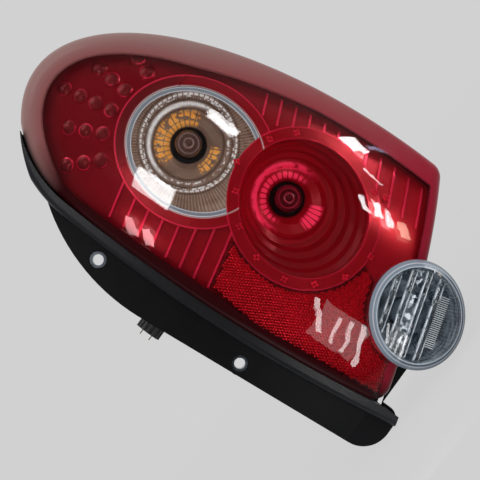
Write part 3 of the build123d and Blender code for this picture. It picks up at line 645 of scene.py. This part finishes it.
def red_lens():
    """Red inner lens: deep red under a polished skin, with painted highlights on its ribs, round each bead's
    rim and along the edges of its window, disc and bowl openings.
    """
    look = paint("red_lens")
    z = look.height()
    patchy = look.noise(38.0, 2.0)
    low_share = look.ramp(z + patchy * 0.04, 0.15, -0.10)
    disc_reach = oval_reach(look, STOP_DISC)
    in_disc = look.ramp(disc_reach, 1.0, 0.985)
    plain = look.mix(in_disc, look.mix(low_share, *LENS_REDS), DISC_RED)
    rise = dome_rise(look)
    nose = look.ramp(z, *NOSE_Z)
    bead = look.ramp(rise, *BEAD_RISE) * nose
    beaded = look.mix(bead, plain, BEAD_RED)
    # Painted highlights: bright red on the ribs, round each bead's rim and along the oval edges, and pale
    # pink round the window
    ribs = look.ramp(rise, *RIB_FOOT) * look.ramp(rise, *RIB_TOP) * (1.0 - nose)
    rim_highlights = look.ring(rise, *RIM_RISE) * nose * look.ramp(look.noise(120.0), 0.44, 0.62) * 0.8
    window_line = look.ring(oval_reach(look, WINDOW_RING), 0.985, 0.014) * (1.0 - in_disc)
    disc_line = look.ring(disc_reach, 0.985, 0.016)
    bowl_line = look.ring(oval_reach(look, STOP_OVAL), 1.0, 0.018)
    lines = (window_line + disc_line) * 0.8 + bowl_line * 0.5
    bright = look.ramp(ribs * (look.noise(60.0) + 0.3) + rim_highlights + lines, 0.0, 1.0)
    window_rim_highlight = look.ring(oval_reach(look, WINDOW_OVAL), 1.005, 0.016)
    return look.done(look.surface({
        "Base Color": look.mix(window_rim_highlight, look.mix(bright, beaded, RIB_HIGHLIGHT_RED), WINDOW_RIM_HIGHLIGHT),
        "Metallic": 0.55,
        "Roughness": 0.16 + patchy * 0.10 + bead * 0.15,
        "Normal": look.grain(700.0, 0.00004),
        "Coat Weight": 0.4 - bead * 0.3,
        "Coat Roughness": 0.03,
    }))


def frame_red():
    """Frame behind the lens's border, with a painted greyish sheen round the nose that stands for the bright
    room mirrored in the lens's edge over it.
    """
    look = paint("frame_red")
    # Painted sheen: greyer towards the nose
    nose = look.ramp(look.height() + look.noise(30.0) * 0.03, 0.0, 0.14)
    return look.done(look.surface({
        "Base Color": look.mix(nose, *FRAME_RED_AND_SHEEN),
        "Roughness": look.uneven(0.35, 0.1, scale=200.0),
        "Normal": look.grain(500.0, 0.00004),
    }))


def reflex_red(name, reds):
    """Red of the reflex panel and of small red prisms and studs."""
    look = paint(name)
    return look.done(look.surface({
        "Base Color": look.mix(look.noise(50.0), *reds),
        "Metallic": 0.6,
        "Roughness": look.uneven(0.24, 0.08, scale=300.0),
        "Normal": look.grain(900.0, 0.00003),
        "Specular IOR Level": 0.2,
    }))


def from_bulb(look, at):
    """Distance from a bulb's axis, and turn round it from the outboard side upwards."""
    x, z = look.face()
    aside = x - at[0]
    up = z - at[1]
    reach = up.math("SQRT", aside * aside + up * up)
    return reach, up.math("ARCTAN2", up, aside)


def flutes(look, turn, count, reach):
    """Radial flutes that fade near the bulb."""
    wave = turn.math("SINE", turn * count)
    return wave * look.ramp(reach, *FLUTE_FADE)


def cells(look, turn, count):
    """Cells round a bowl, one in their middle and zero at the lines between them."""
    return look.ramp(turn.math("SINE", turn * count), -0.95, -0.45)


def coated_glass(name, at, tint, shades):
    """Coated bulb glass, partly clear, with paler rings moulded round its tip."""
    look = paint(name)
    reach, turn = from_bulb(look, at)
    cell_ring = look.ring(reach, *BULB_CELL_RING) * cells(look, turn, BULB_CELLS)
    rings = look.ring(reach, *BULB_TIP_RING) + cell_ring
    skin = look.surface({
        "Base Color": look.mix(look.ramp(rings, 0.0, 1.0), *shades),
        "Roughness": look.uneven(0.08, 0.06, scale=200.0),
    })
    clear = clear_body(look, tint, COATED, GLASS_IOR)
    return look.done(look.blend(COAT_SHARE, clear, skin))


def indicator_bowl():
    """Metallised bowl, brown-grey and fluted, with painted shade round its bulb and in its grooves, painted
    amber reflections of its bulb in cells, and painted highlights on bright rings; the painted reflections
    and highlights also glow.
    """
    look = paint("indicator_bowl")
    reach, turn = from_bulb(look, INDICATOR_BULB_AT)
    height = turn.math("SINE", turn)
    wave = flutes(look, turn, INDICATOR_FLUTES, reach)
    patchy = look.noise(70.0)
    plain = look.mix(wave * 0.25 + patchy, *INDICATOR_BROWNS)
    # Painted shade: darker in the grooves
    groove_shaded = look.mix(look.rings(reach, INDICATOR_GROOVES) * 0.8, plain, INDICATOR_GROOVE_SHADE)
    # Painted highlights: a curved bright band on the upper side, and dashes and dots on rings
    crescent_highlight = look.ring(reach, *CRESCENT_HIGHLIGHT_RING) * look.ramp(height + patchy * 0.5, 0.1, 0.7)
    specks = look.ramp(look.noise(330.0, 1.0), 0.50, 0.62)
    dashes = look.rings(reach, DASH_RINGS) * specks
    dots = look.ring(reach, *DOT_RING) * cells(look, turn, DOT_CELLS)
    painted_highlight = look.ramp(crescent_highlight + dashes + dots, 0.0, 0.8)
    ringed = look.mix(painted_highlight, groove_shaded, INDICATOR_HIGHLIGHT)
    # Painted reflection of the amber bulb: amber cells above and below it, split into two rows
    above = look.ring(reach, *AMBER_ABOVE) * look.ramp(height, 0.15, 0.40)
    below = look.ring(reach, *AMBER_BELOW) * look.ramp(height, -0.80, -0.92)
    inner_row = look.ramp(reach, 0.0206, 0.0200)
    broken = inner_row + look.ramp(look.noise(260.0, 1.0), 0.40, 0.52)
    rows = (1.0 - look.ring(reach, *AMBER_PARTING)) * broken
    amber = look.ramp((above + below) * cells(look, turn, AMBER_CELLS) * rows, 0.05, 0.35)
    amber_reflected = look.mix(amber, ringed, look.mix(look.noise(240.0), *AMBER_REFLECTIONS))
    return look.done(look.surface({
        # Painted shade: near black round the bulb hole
        "Base Color": look.mix(look.ramp(reach, *INDICATOR_HOLE), amber_reflected, INDICATOR_HOLE_SHADE),
        "Metallic": 0.1,
        "Roughness": look.uneven(0.16, 0.1, scale=160.0),
        "Specular IOR Level": 0.25,
        "Normal": look.bump(wave, 0.0002),
        # Painted glow: the amber reflections and the highlights glow faintly
        "Emission Color": look.mix(amber, look.mix(painted_highlight, NO_GLOW, HIGHLIGHT_GLOW), AMBER_REFLECTION_GLOW),
        "Emission Strength": 0.35,
    }))


def stop_bowl():
    """Red metallised bowl with painted light: paler near its bulb and towards its top, painted shade in its
    step lines and round its bulb hole, and painted highlights, which also glow, on two rings round its bulb
    and in a fan below it.
    """
    look = paint("stop_bowl")
    reach, turn = from_bulb(look, STOP_BULB_AT)
    height = turn.math("SINE", turn)
    # Painted light: paler near the bulb and towards the top, darker along painted shade lines
    inner = look.ramp(reach, 0.050, 0.022) * 0.6 + look.ramp(height, -0.4, 1.0) * 0.4
    plain = look.mix(inner - look.rings(reach, STOP_SHADE_LINES) * 0.3, *STOP_SHADED_AND_LIT_REDS)
    # Painted highlights: cells on a near ring and a broken far ring on the upper side, and a fan of cells
    # low down
    near = look.ring(reach, *STOP_NEAR_RING) * cells(look, turn, STOP_NEAR_CELLS)
    far = look.ring(reach, *STOP_FAR_RING) * look.ramp(look.noise(180.0), 0.30, 0.50)
    upper = look.ramp(height + look.noise(120.0) * 0.5, -0.1, 0.7)
    lowest = look.ramp(height, -0.90, -0.97)
    fan = look.ring(reach, *STOP_FAN_RING) * lowest * cells(look, turn, STOP_FAN_CELLS)
    lit = look.ramp((near + far) * upper + fan * 1.5, 0.0, 0.5)
    bright = look.mix(lit, plain, STOP_HIGHLIGHT)
    return look.done(look.surface({
        # Painted shade: near black round the bulb hole
        "Base Color": look.mix(look.ramp(reach, *STOP_HOLE), bright, STOP_HOLE_SHADE),
        "Metallic": 0.1,
        "Roughness": look.uneven(0.20, 0.1, scale=160.0),
        "Specular IOR Level": 0.12,
        "Normal": look.grain(400.0, 0.00005, 3.0),
        # Painted glow of the highlights
        "Emission Color": look.mix(lit, NO_GLOW, STOP_HIGHLIGHT_GLOW),
        "Emission Strength": 0.26,
    }))


def reverse_bowl():
    """Bright metallised bowl, fluted, with painted dark reflections in places, like those it would mirror
    from a room.
    """
    look = paint("reverse_bowl")
    reach, turn = from_bulb(look, REVERSE_AT)
    wave = flutes(look, turn, REVERSE_FLUTES, reach)
    # Painted reflection: dark where the bowl would mirror dark parts of a room
    dark_reflections = look.ramp(look.noise(75.0, 2.0), 0.38, 0.60)
    return look.done(look.surface({
        "Base Color": look.mix(dark_reflections + wave * 0.15, *REVERSE_DARK_REFLECTION_AND_GREY),
        "Metallic": 0.3,
        "Roughness": look.uneven(0.14, 0.1, scale=160.0),
        "Normal": look.bump(wave, 0.0003),
    }))


def reverse_glass():
    """Clear dome of the reversing lamp with a thick pale wall round it, on which two painted highlight lines
    run and a painted dark line of shade runs along its low side.
    """
    look = paint("reverse_glass")
    reach = oval_reach(look, REVERSE_RIM)
    middle = clear_body(look, LENS_TINT, POLISHED, LENS_IOR, ripple(look))
    low_side = look.ramp(look.height(), REVERSE_AT[1] + 0.004, REVERSE_AT[1] - 0.004)
    # Painted shade: a dark line along the wall's low side
    low_shade_line = look.ring(reach, 0.880, 0.018) * low_side
    # Painted highlights: two pale lines round the wall
    painted_highlight = look.ramp(look.rings(reach, ((0.915, 0.014), (0.850, 0.014))), 0.0, 1.0)
    wall = look.surface({
        "Base Color": look.mix(low_shade_line, look.mix(painted_highlight, *WALL_GREY_AND_HIGHLIGHT), WALL_SHADE_LINE),
        "Roughness": 0.10 + look.dust() * 0.10,
    })
    share = look.ramp(reach, 0.835, 0.850) * 0.75 + low_shade_line * 0.2
    return look.done(look.blend(share, middle, wall))


def optic_glass():
    """Clear optic with painted glints along its bars and between them, and painted shade behind its fine
    teeth.
    """
    look = paint("clear_optic")
    x, z = look.face()
    along, across = turned(x - REVERSE_AT[0], z - REVERSE_AT[1], BAR_TURN)
    broken = look.ramp(look.noise(110.0, 2.0), 0.36, 0.52)
    glints = look.ring(across, *SPARK_BAND) * look.ramp(look.noise(210.0, 2.0), 0.56, 0.62)
    for bar in BAR_PLACES:
        for off in (-GLINT_OFF, GLINT_OFF):
            glints = glints + look.ring(across, bar + off, GLINT_HALF) * broken
    inside = look.ramp(oval_reach(look, OPTIC_OVAL), 0.97, 0.93)
    # Painted glints: pale spots and lines over the clear optic
    glint = look.surface({
        "Base Color": look.mix(look.noise(160.0), *GLINTS),
        "Roughness": look.uneven(0.12, 0.10, scale=90.0),
    })
    # Painted shade: a dark patch on the plate behind the teeth
    shade = look.surface({
        "Base Color": look.mix(look.noise(90.0), *TEETH_PAINTED_SHADE),
        "Roughness": look.uneven(0.20, 0.1, scale=160.0),
    })
    teeth_along, teeth_across = turned(TEETH_AT[0] - REVERSE_AT[0], TEETH_AT[1] - REVERSE_AT[1], BAR_TURN)
    half_along, half_across = TEETH_SHADE_HALVES
    behind = look.ring(along, teeth_along, half_along) * look.ring(across, teeth_across, half_across)
    clear = clear_body(look, OPTIC_TINT, COATED, LENS_IOR)
    sparkling = look.blend(look.ramp(glints, 0.0, 0.7) * inside, clear, glint)
    return look.done(look.blend(look.ramp(behind, 0.0, 0.10) * 0.85, sparkling, shade))


def give(material, *names):
    """Put a material on CAD nodes."""
    for name in names:
        slots = nodes[name].data.materials
        slots.clear()
        slots.append(material)


def dome_point(x, z, gap):
    """Point of the lens's dome, drawn in by gap, at a place in X and Z, and the way it faces."""
    halves = Vector([half - gap for half in DOME_HALVES])
    across = (x - DOME_AT.x) / halves.x
    up = (z - DOME_AT.z) / halves.z
    point = Vector((x, DOME_AT.y - halves.y * math.sqrt(1.0 - across * across - up * up), z))
    off = point - DOME_AT
    facing = Vector([part / (half * half) for part, half in zip(off, halves)])
    return point, facing.normalized()


def dome_stand(x, z, gap):
    """Stand on the lens's dome, with its Z the way the dome faces."""
    point, facing = dome_point(x, z, gap)
    return Matrix.Translation(point) @ facing.to_track_quat("Z", "Y").to_matrix().to_4x4()


def start_piece():
    """Nothing selected, so that the next operators act on the new piece alone."""
    bpy.ops.object.select_all(action="DESELECT")


def edit_all():
    """Edit mode with the whole piece selected."""
    bpy.ops.object.mode_set(mode="EDIT")
    bpy.ops.mesh.select_all(action="SELECT")


def face_outwards():
    """Turn all faces of the piece outwards and leave edit mode."""
    bpy.ops.mesh.select_all(action="SELECT")
    bpy.ops.mesh.normals_make_consistent(inside=False)
    bpy.ops.object.mode_set(mode="OBJECT")


def copy_onto(piece, matrix):
    """Copy of a piece with its own mesh, at another place."""
    copy = piece.copy()
    copy.data = piece.data.copy()
    copy.matrix_world = matrix
    bpy.context.scene.collection.objects.link(copy)
    return copy


def joined(name, pieces):
    """One object of several, at the origin, with their places in its mesh."""
    start_piece()
    for piece in pieces:
        piece.select_set(True)
    bpy.context.view_layer.objects.active = pieces[0]
    bpy.ops.object.join()
    bpy.ops.object.transform_apply(location=True, rotation=True, scale=True)
    whole = bpy.context.object
    whole.name = name
    return whole


def fit(piece, material):
    """Give a piece its material and fix it to the lamp."""
    piece.data.materials.clear()
    piece.data.materials.append(material)
    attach(piece, "root")


def add_studs():
    """Studs of four small domes each, round the stop lamp's ring, each turned another way."""
    start_piece()
    bpy.ops.mesh.primitive_uv_sphere_add(
        segments=STUD_SEGMENTS, ring_count=STUD_RINGS, radius=STUD_LOBE_R,
    )
    lobe = bpy.context.object
    edit_all()
    bpy.ops.transform.resize(value=(1.0, 1.0, STUD_RISE_SHARE))
    bpy.ops.object.mode_set(mode="OBJECT")
    bpy.ops.object.shade_smooth()
    lobes = []
    for stud_number, (x, z) in enumerate(STUD_PLACES):
        stand = dome_stand(x, z, DISC_GAP)
        for lobe_number in range(STUD_LOBES):
            turn = 2.0 * math.pi * lobe_number / STUD_LOBES + stud_number
            aside = Vector((math.cos(turn), math.sin(turn), 0.0)) * STUD_LOBE_REACH
            lobes.append(copy_onto(lobe, stand @ Matrix.Translation(aside)))
    bpy.data.objects.remove(lobe)
    return joined("stop_ring_studs", lobes)


def in_oval(x, z, oval, margin):
    """Whether a place lies in an oval grown by margin."""
    at, halves, degrees = oval
    along, across = turned(x - at[0], z - at[1], math.radians(degrees))
    return (along / (halves[0] + margin)) ** 2 + (across / (halves[1] + margin)) ** 2 < 1.0


def in_reflex(x, z):
    """Whether a prism at a place lies on the reflex panel."""
    corners = [Vector(corner) for corner in REFLEX_CORNERS]
    for start, end in zip(corners, corners[1:] + corners[:1]):
        side = end - start
        inward = Vector((side.y, -side.x)).normalized()
        if (Vector((x, z)) - start).dot(inward) < PRISM_MARGIN:
            return False
    return not (in_oval(x, z, STOP_DISC, PRISM_MARGIN) or in_oval(x, z, REVERSE_RIM, PRISM_MARGIN))


def add_prisms():
    """Small six-sided prisms in staggered rows over the reflex panel."""
    start_piece()
    bpy.ops.mesh.primitive_circle_add(vertices=PRISM_SIDES, radius=PRISM_R)
    prism = bpy.context.object
    edit_all()
    bpy.ops.mesh.extrude_region_move(TRANSFORM_OT_translate={"value": (0.0, 0.0, PRISM_RISE)})
    bpy.ops.transform.resize(value=(PRISM_TOP_SHARE, PRISM_TOP_SHARE, 1.0))
    bpy.ops.mesh.edge_face_add()
    face_outwards()
    row_pitch = PRISM_PITCH * math.sqrt(3.0) / 2.0
    xs = [corner[0] for corner in REFLEX_CORNERS]
    zs = [corner[1] for corner in REFLEX_CORNERS]
    prisms = []
    for row in range(int((max(zs) - min(zs)) / row_pitch) + 1):
        z = min(zs) + row * row_pitch
        for number in range(int((max(xs) - min(xs)) / PRISM_PITCH) + 1):
            x = min(xs) + (number + 0.5 * (row % 2)) * PRISM_PITCH
            if in_reflex(x, z):
                prisms.append(copy_onto(prism, dome_stand(x, z, REFLEX_GAP)))
    bpy.data.objects.remove(prism)
    return joined("reflex_prisms", prisms)


def chord(oval, turn, aside, margin):
    """Middle and length of a line across an oval, at that turn and that far from the oval's centre."""
    halves = oval[1]
    off = math.radians(oval[2]) - turn
    start = Vector((aside * math.sin(off) / halves[0], aside * math.cos(off) / halves[1]))
    step = Vector((math.cos(off) / halves[0], -math.sin(off) / halves[1]))
    middle = -start.dot(step) / step.dot(step)
    nearest = start + step * middle
    half = math.sqrt((1.0 - nearest.dot(nearest)) / step.dot(step))
    return middle, 2.0 * (half - margin)


def optic_stand(turn, y):
    """Stand on the reversing lamp's axis, its X turned in the lamp's face and its Z to the car's rear."""
    across = Vector((math.cos(turn), 0.0, math.sin(turn)))
    up = Vector((-math.sin(turn), 0.0, math.cos(turn)))
    stand = Matrix((across, up, across.cross(up))).transposed().to_4x4()
    return Matrix.Translation((REVERSE_AT[0], y, REVERSE_AT[1])) @ stand


def add_plate():
    """Oval plate of the reversing lamp's optic, with its front edge eased."""
    start_piece()
    bpy.ops.mesh.primitive_circle_add(vertices=OPTIC_SIDES, radius=1.0, fill_type="NGON")
    plate = bpy.context.object
    edit_all()
    bpy.ops.transform.resize(value=(*OPTIC_OVAL[1], 1.0))
    bpy.ops.mesh.extrude_region_move(TRANSFORM_OT_translate={"value": (0.0, 0.0, OPTIC_T)})
    bpy.ops.mesh.inset(thickness=OPTIC_EDGE_R, depth=OPTIC_EDGE_R)
    face_outwards()
    plate.matrix_world = optic_stand(math.radians(OPTIC_OVAL[2]), OPTIC_BACK_Y)
    return plate


def add_optic():
    """Optic of the reversing lamp: its plate and the rounded bars on it."""
    pieces = [add_plate()]
    start_piece()
    bpy.ops.mesh.primitive_cube_add(size=1.0)
    bar = bpy.context.object
    edit_all()
    bpy.ops.transform.resize(value=(1.0, BAR_WIDTH, BAR_HEIGHT))
    bpy.ops.mesh.bevel(offset=BAR_ROUND, segments=BAR_ROUND_SEGMENTS)
    bpy.ops.object.mode_set(mode="OBJECT")
    bpy.ops.object.shade_smooth_by_angle(angle=BAR_SMOOTH)
    stand = optic_stand(BAR_TURN, OPTIC_BACK_Y - OPTIC_T - OPTIC_EDGE_R)
    for aside in BAR_PLACES:
        middle, length = chord(OPTIC_OVAL, BAR_TURN, aside, BAR_MARGIN)
        place = Matrix.Translation((middle, aside, BAR_STAND))
        pieces.append(copy_onto(bar, stand @ place @ Matrix.Diagonal((length, 1.0, 1.0, 1.0))))
    bpy.data.objects.remove(bar)
    return joined("reverse_bars", pieces)


def add_teeth():
    """Row of fine teeth beside the last bar of the reversing lamp's optic."""
    start_piece()
    bpy.ops.mesh.primitive_cube_add(size=1.0)
    tooth = bpy.context.object
    edit_all()
    bpy.ops.transform.resize(value=(TOOTH_WIDTH, TOOTH_HEIGHT, TOOTH_LENGTH))
    bpy.ops.mesh.bevel(offset=TOOTH_ROUND, segments=TOOTH_ROUND_SEGMENTS)
    bpy.ops.object.mode_set(mode="OBJECT")
    along = Vector((math.cos(BAR_TURN), 0.0, math.sin(BAR_TURN)))
    turn = Matrix.Rotation(-BAR_TURN, 4, "Y")
    middle = Vector((TEETH_AT[0], TOOTH_FOOT_Y - TOOTH_HEIGHT / 2.0, TEETH_AT[1]))
    teeth = []
    for number in range(TOOTH_COUNT):
        shift = (number - (TOOTH_COUNT - 1) / 2.0) * TOOTH_PITCH
        teeth.append(copy_onto(tooth, Matrix.Translation(middle + along * shift) @ turn))
    bpy.data.objects.remove(tooth)
    return joined("reverse_teeth", teeth)


def add_camera():
    """Camera at the photograph's viewing angle."""
    level = Vector((math.sin(CAMERA_AZIMUTH), -math.cos(CAMERA_AZIMUTH), 0.0))
    back = level * math.cos(CAMERA_ELEVATION) + Vector((0.0, 0.0, math.sin(CAMERA_ELEVATION)))
    right = Vector((0.0, 0.0, 1.0)).cross(back).normalized()
    up = back.cross(right)
    side = right * math.cos(CAMERA_ROLL) - up * math.sin(CAMERA_ROLL)
    top = right * math.sin(CAMERA_ROLL) + up * math.cos(CAMERA_ROLL)
    data = bpy.data.cameras.new("camera")
    data.sensor_width = SENSOR_WIDTH
    data.lens = CAMERA_LENS
    data.clip_start = CAMERA_NEAR
    camera = bpy.data.objects.new("camera", data)
    place = CAMERA_TARGET + CAMERA_DISTANCE * back
    turn = Matrix((side, top, back)).transposed().to_4x4()
    camera.matrix_world = Matrix.Translation(place) @ turn
    bpy.context.scene.collection.objects.link(camera)
    bpy.context.scene.camera = camera


def add_lamp(name, place, wide, tall, brightness, tint):
    """Soft lamp with its two sides along wide and tall, turned to face the object."""
    place = Vector(place)
    wide = Vector(wide)
    tall = Vector(tall)
    away = wide.cross(tall).normalized()
    if away.dot(place - CAMERA_TARGET) < 0.0:
        away = -away
    across = wide.normalized()
    data = bpy.data.lights.new(name, "AREA")
    data.shape = "RECTANGLE"
    data.size = wide.length
    data.size_y = tall.length
    data.energy = brightness * math.pi * wide.length * tall.length
    data.color = tint
    lamp = bpy.data.objects.new(name, data)
    turn = Matrix((across, away.cross(across), away)).transposed().to_4x4()
    lamp.matrix_world = Matrix.Translation(place) @ turn
    lamp.visible_camera = False
    bpy.context.scene.collection.objects.link(lamp)


def rays(look):
    """Camera rays, and rays only mirrored or let through on their way, each as 0 or 1."""
    path = look.node("ShaderNodeLightPath")
    glossy = Value(look, path.outputs["Is Glossy Ray"])
    through = Value(look, path.outputs["Is Transmission Ray"])
    matt_bounces = Value(look, path.outputs["Diffuse Depth"])
    mirrored = look.ramp((glossy + through) * (1.0 - matt_bounces), 0.0, 1.0)
    return Value(look, path.outputs["Is Camera Ray"]), mirrored


def add_world():
    """Pale room, seen in mirrors as dark in front of the lamp and palest above and behind it."""
    world = bpy.data.worlds.new("studio")
    bpy.context.scene.world = world
    look = Look(world)
    camera, mirrored = rays(look)
    x, y, z = look.split(look.value("ShaderNodeTexCoord", output="Generated"))
    below = look.ramp(z, *ROOM_BELOW) * (1.0 - ROOM_BELOW_SHARE) + ROOM_BELOW_SHARE
    inboard = look.ramp(x, *ROOM_INBOARD) * (1.0 - ROOM_INBOARD_SHARE) + ROOM_INBOARD_SHARE
    sides = look.ramp(y, *ROOM_FRONT) * below * inboard
    share = sides.math("MAXIMUM", sides, look.ramp(y, *ROOM_BACK))
    dark = look.value("ShaderNodeBackground", values={"Color": FRONT_GREY})
    pale = look.value("ShaderNodeBackground", values={"Color": BACKDROP_GREY})
    room = look.value("ShaderNodeBackground", values={"Color": ROOM_LIGHT})
    seen = look.blend(mirrored, room, look.blend(share, dark, pale))
    look.done(look.blend(camera, seen, pale))


def floor_finish():
    """Pale floor that keeps a soft shadow and fades into the background, dark in mirrors at the front."""
    look = paint("pale_floor")
    x, y = look.axes()[:2]
    camera, mirrored = rays(look)
    colour = look.mix(look.noise(FLOOR_MOTTLE), *FLOOR_GREYS)
    matt = look.value("ShaderNodeBsdfDiffuse", values={"Color": colour})
    glow = look.value("ShaderNodeEmission", values={"Color": BACKDROP_GREY})
    dark = look.value("ShaderNodeEmission", values={"Color": FRONT_GREY})
    mirror = look.blend(look.ramp(y, *FLOOR_MIRROR_Y), dark, glow)
    seen = look.blend(mirrored, matt, mirror)
    lit = look.blend(camera * FLOOR_SEEN, seen, glow)
    reach = x.math("SQRT", x * x + y * y)
    clear = look.value("ShaderNodeBsdfTransparent")
    return look.done(look.blend(look.ramp(reach, *FLOOR_FADE), lit, clear))


def add_floor():
    """Floor just under the lamp's lowest point."""
    start_piece()
    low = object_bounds()[0][2] - FLOOR_DROP
    bpy.ops.mesh.primitive_plane_add(size=FLOOR_SIZE, location=(0.0, 0.0, low))
    floor = bpy.context.object
    floor.name = "floor"
    floor.data.materials.append(floor_finish())


# Materials of the CAD nodes
give(outer_lens(), "outer_lens")
give(reverse_glass(), "reverse_lens")
give(window_glass(), "indicator_window")
give(bulb_glass(), "tail_bulb")
give(coated_glass("red_glass", STOP_BULB_AT, RED_TINT, RED_BULB), "stop_bulb")
give(coated_glass("amber_glass", INDICATOR_BULB_AT, AMBER_TINT, AMBER_BULB), "indicator_bulb")
give(red_lens(), "inner_lens")
give(reflex_red("reflex_red", REFLEX_REDS), "reflex_panel")
give(indicator_bowl(), "indicator_reflector")
give(stop_bowl(), "stop_reflector")
give(reverse_bowl(), "reverse_reflector")
give(frame_red(), "reflector_frame")
for finish_name, node_names in FINISHED_NODES.items():
    give(moulded(finish_name), *node_names)

# Fine pieces that only the scene has
fit(add_studs(), reflex_red("stud_red", STUD_REDS))
fit(add_prisms(), reflex_red("prism_red", PRISM_REDS))
optic = add_optic()
fit(optic, optic_glass())
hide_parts("reverse_optic")
fit(add_teeth(), moulded("pale_teeth"))

# Camera, floor and light
add_camera()
add_world()
add_floor()
for lamp_name, lamp_sizes in LAMPS.items():
    add_lamp(lamp_name, *lamp_sizes)

bpy.context.scene.view_settings.view_transform = "Standard"
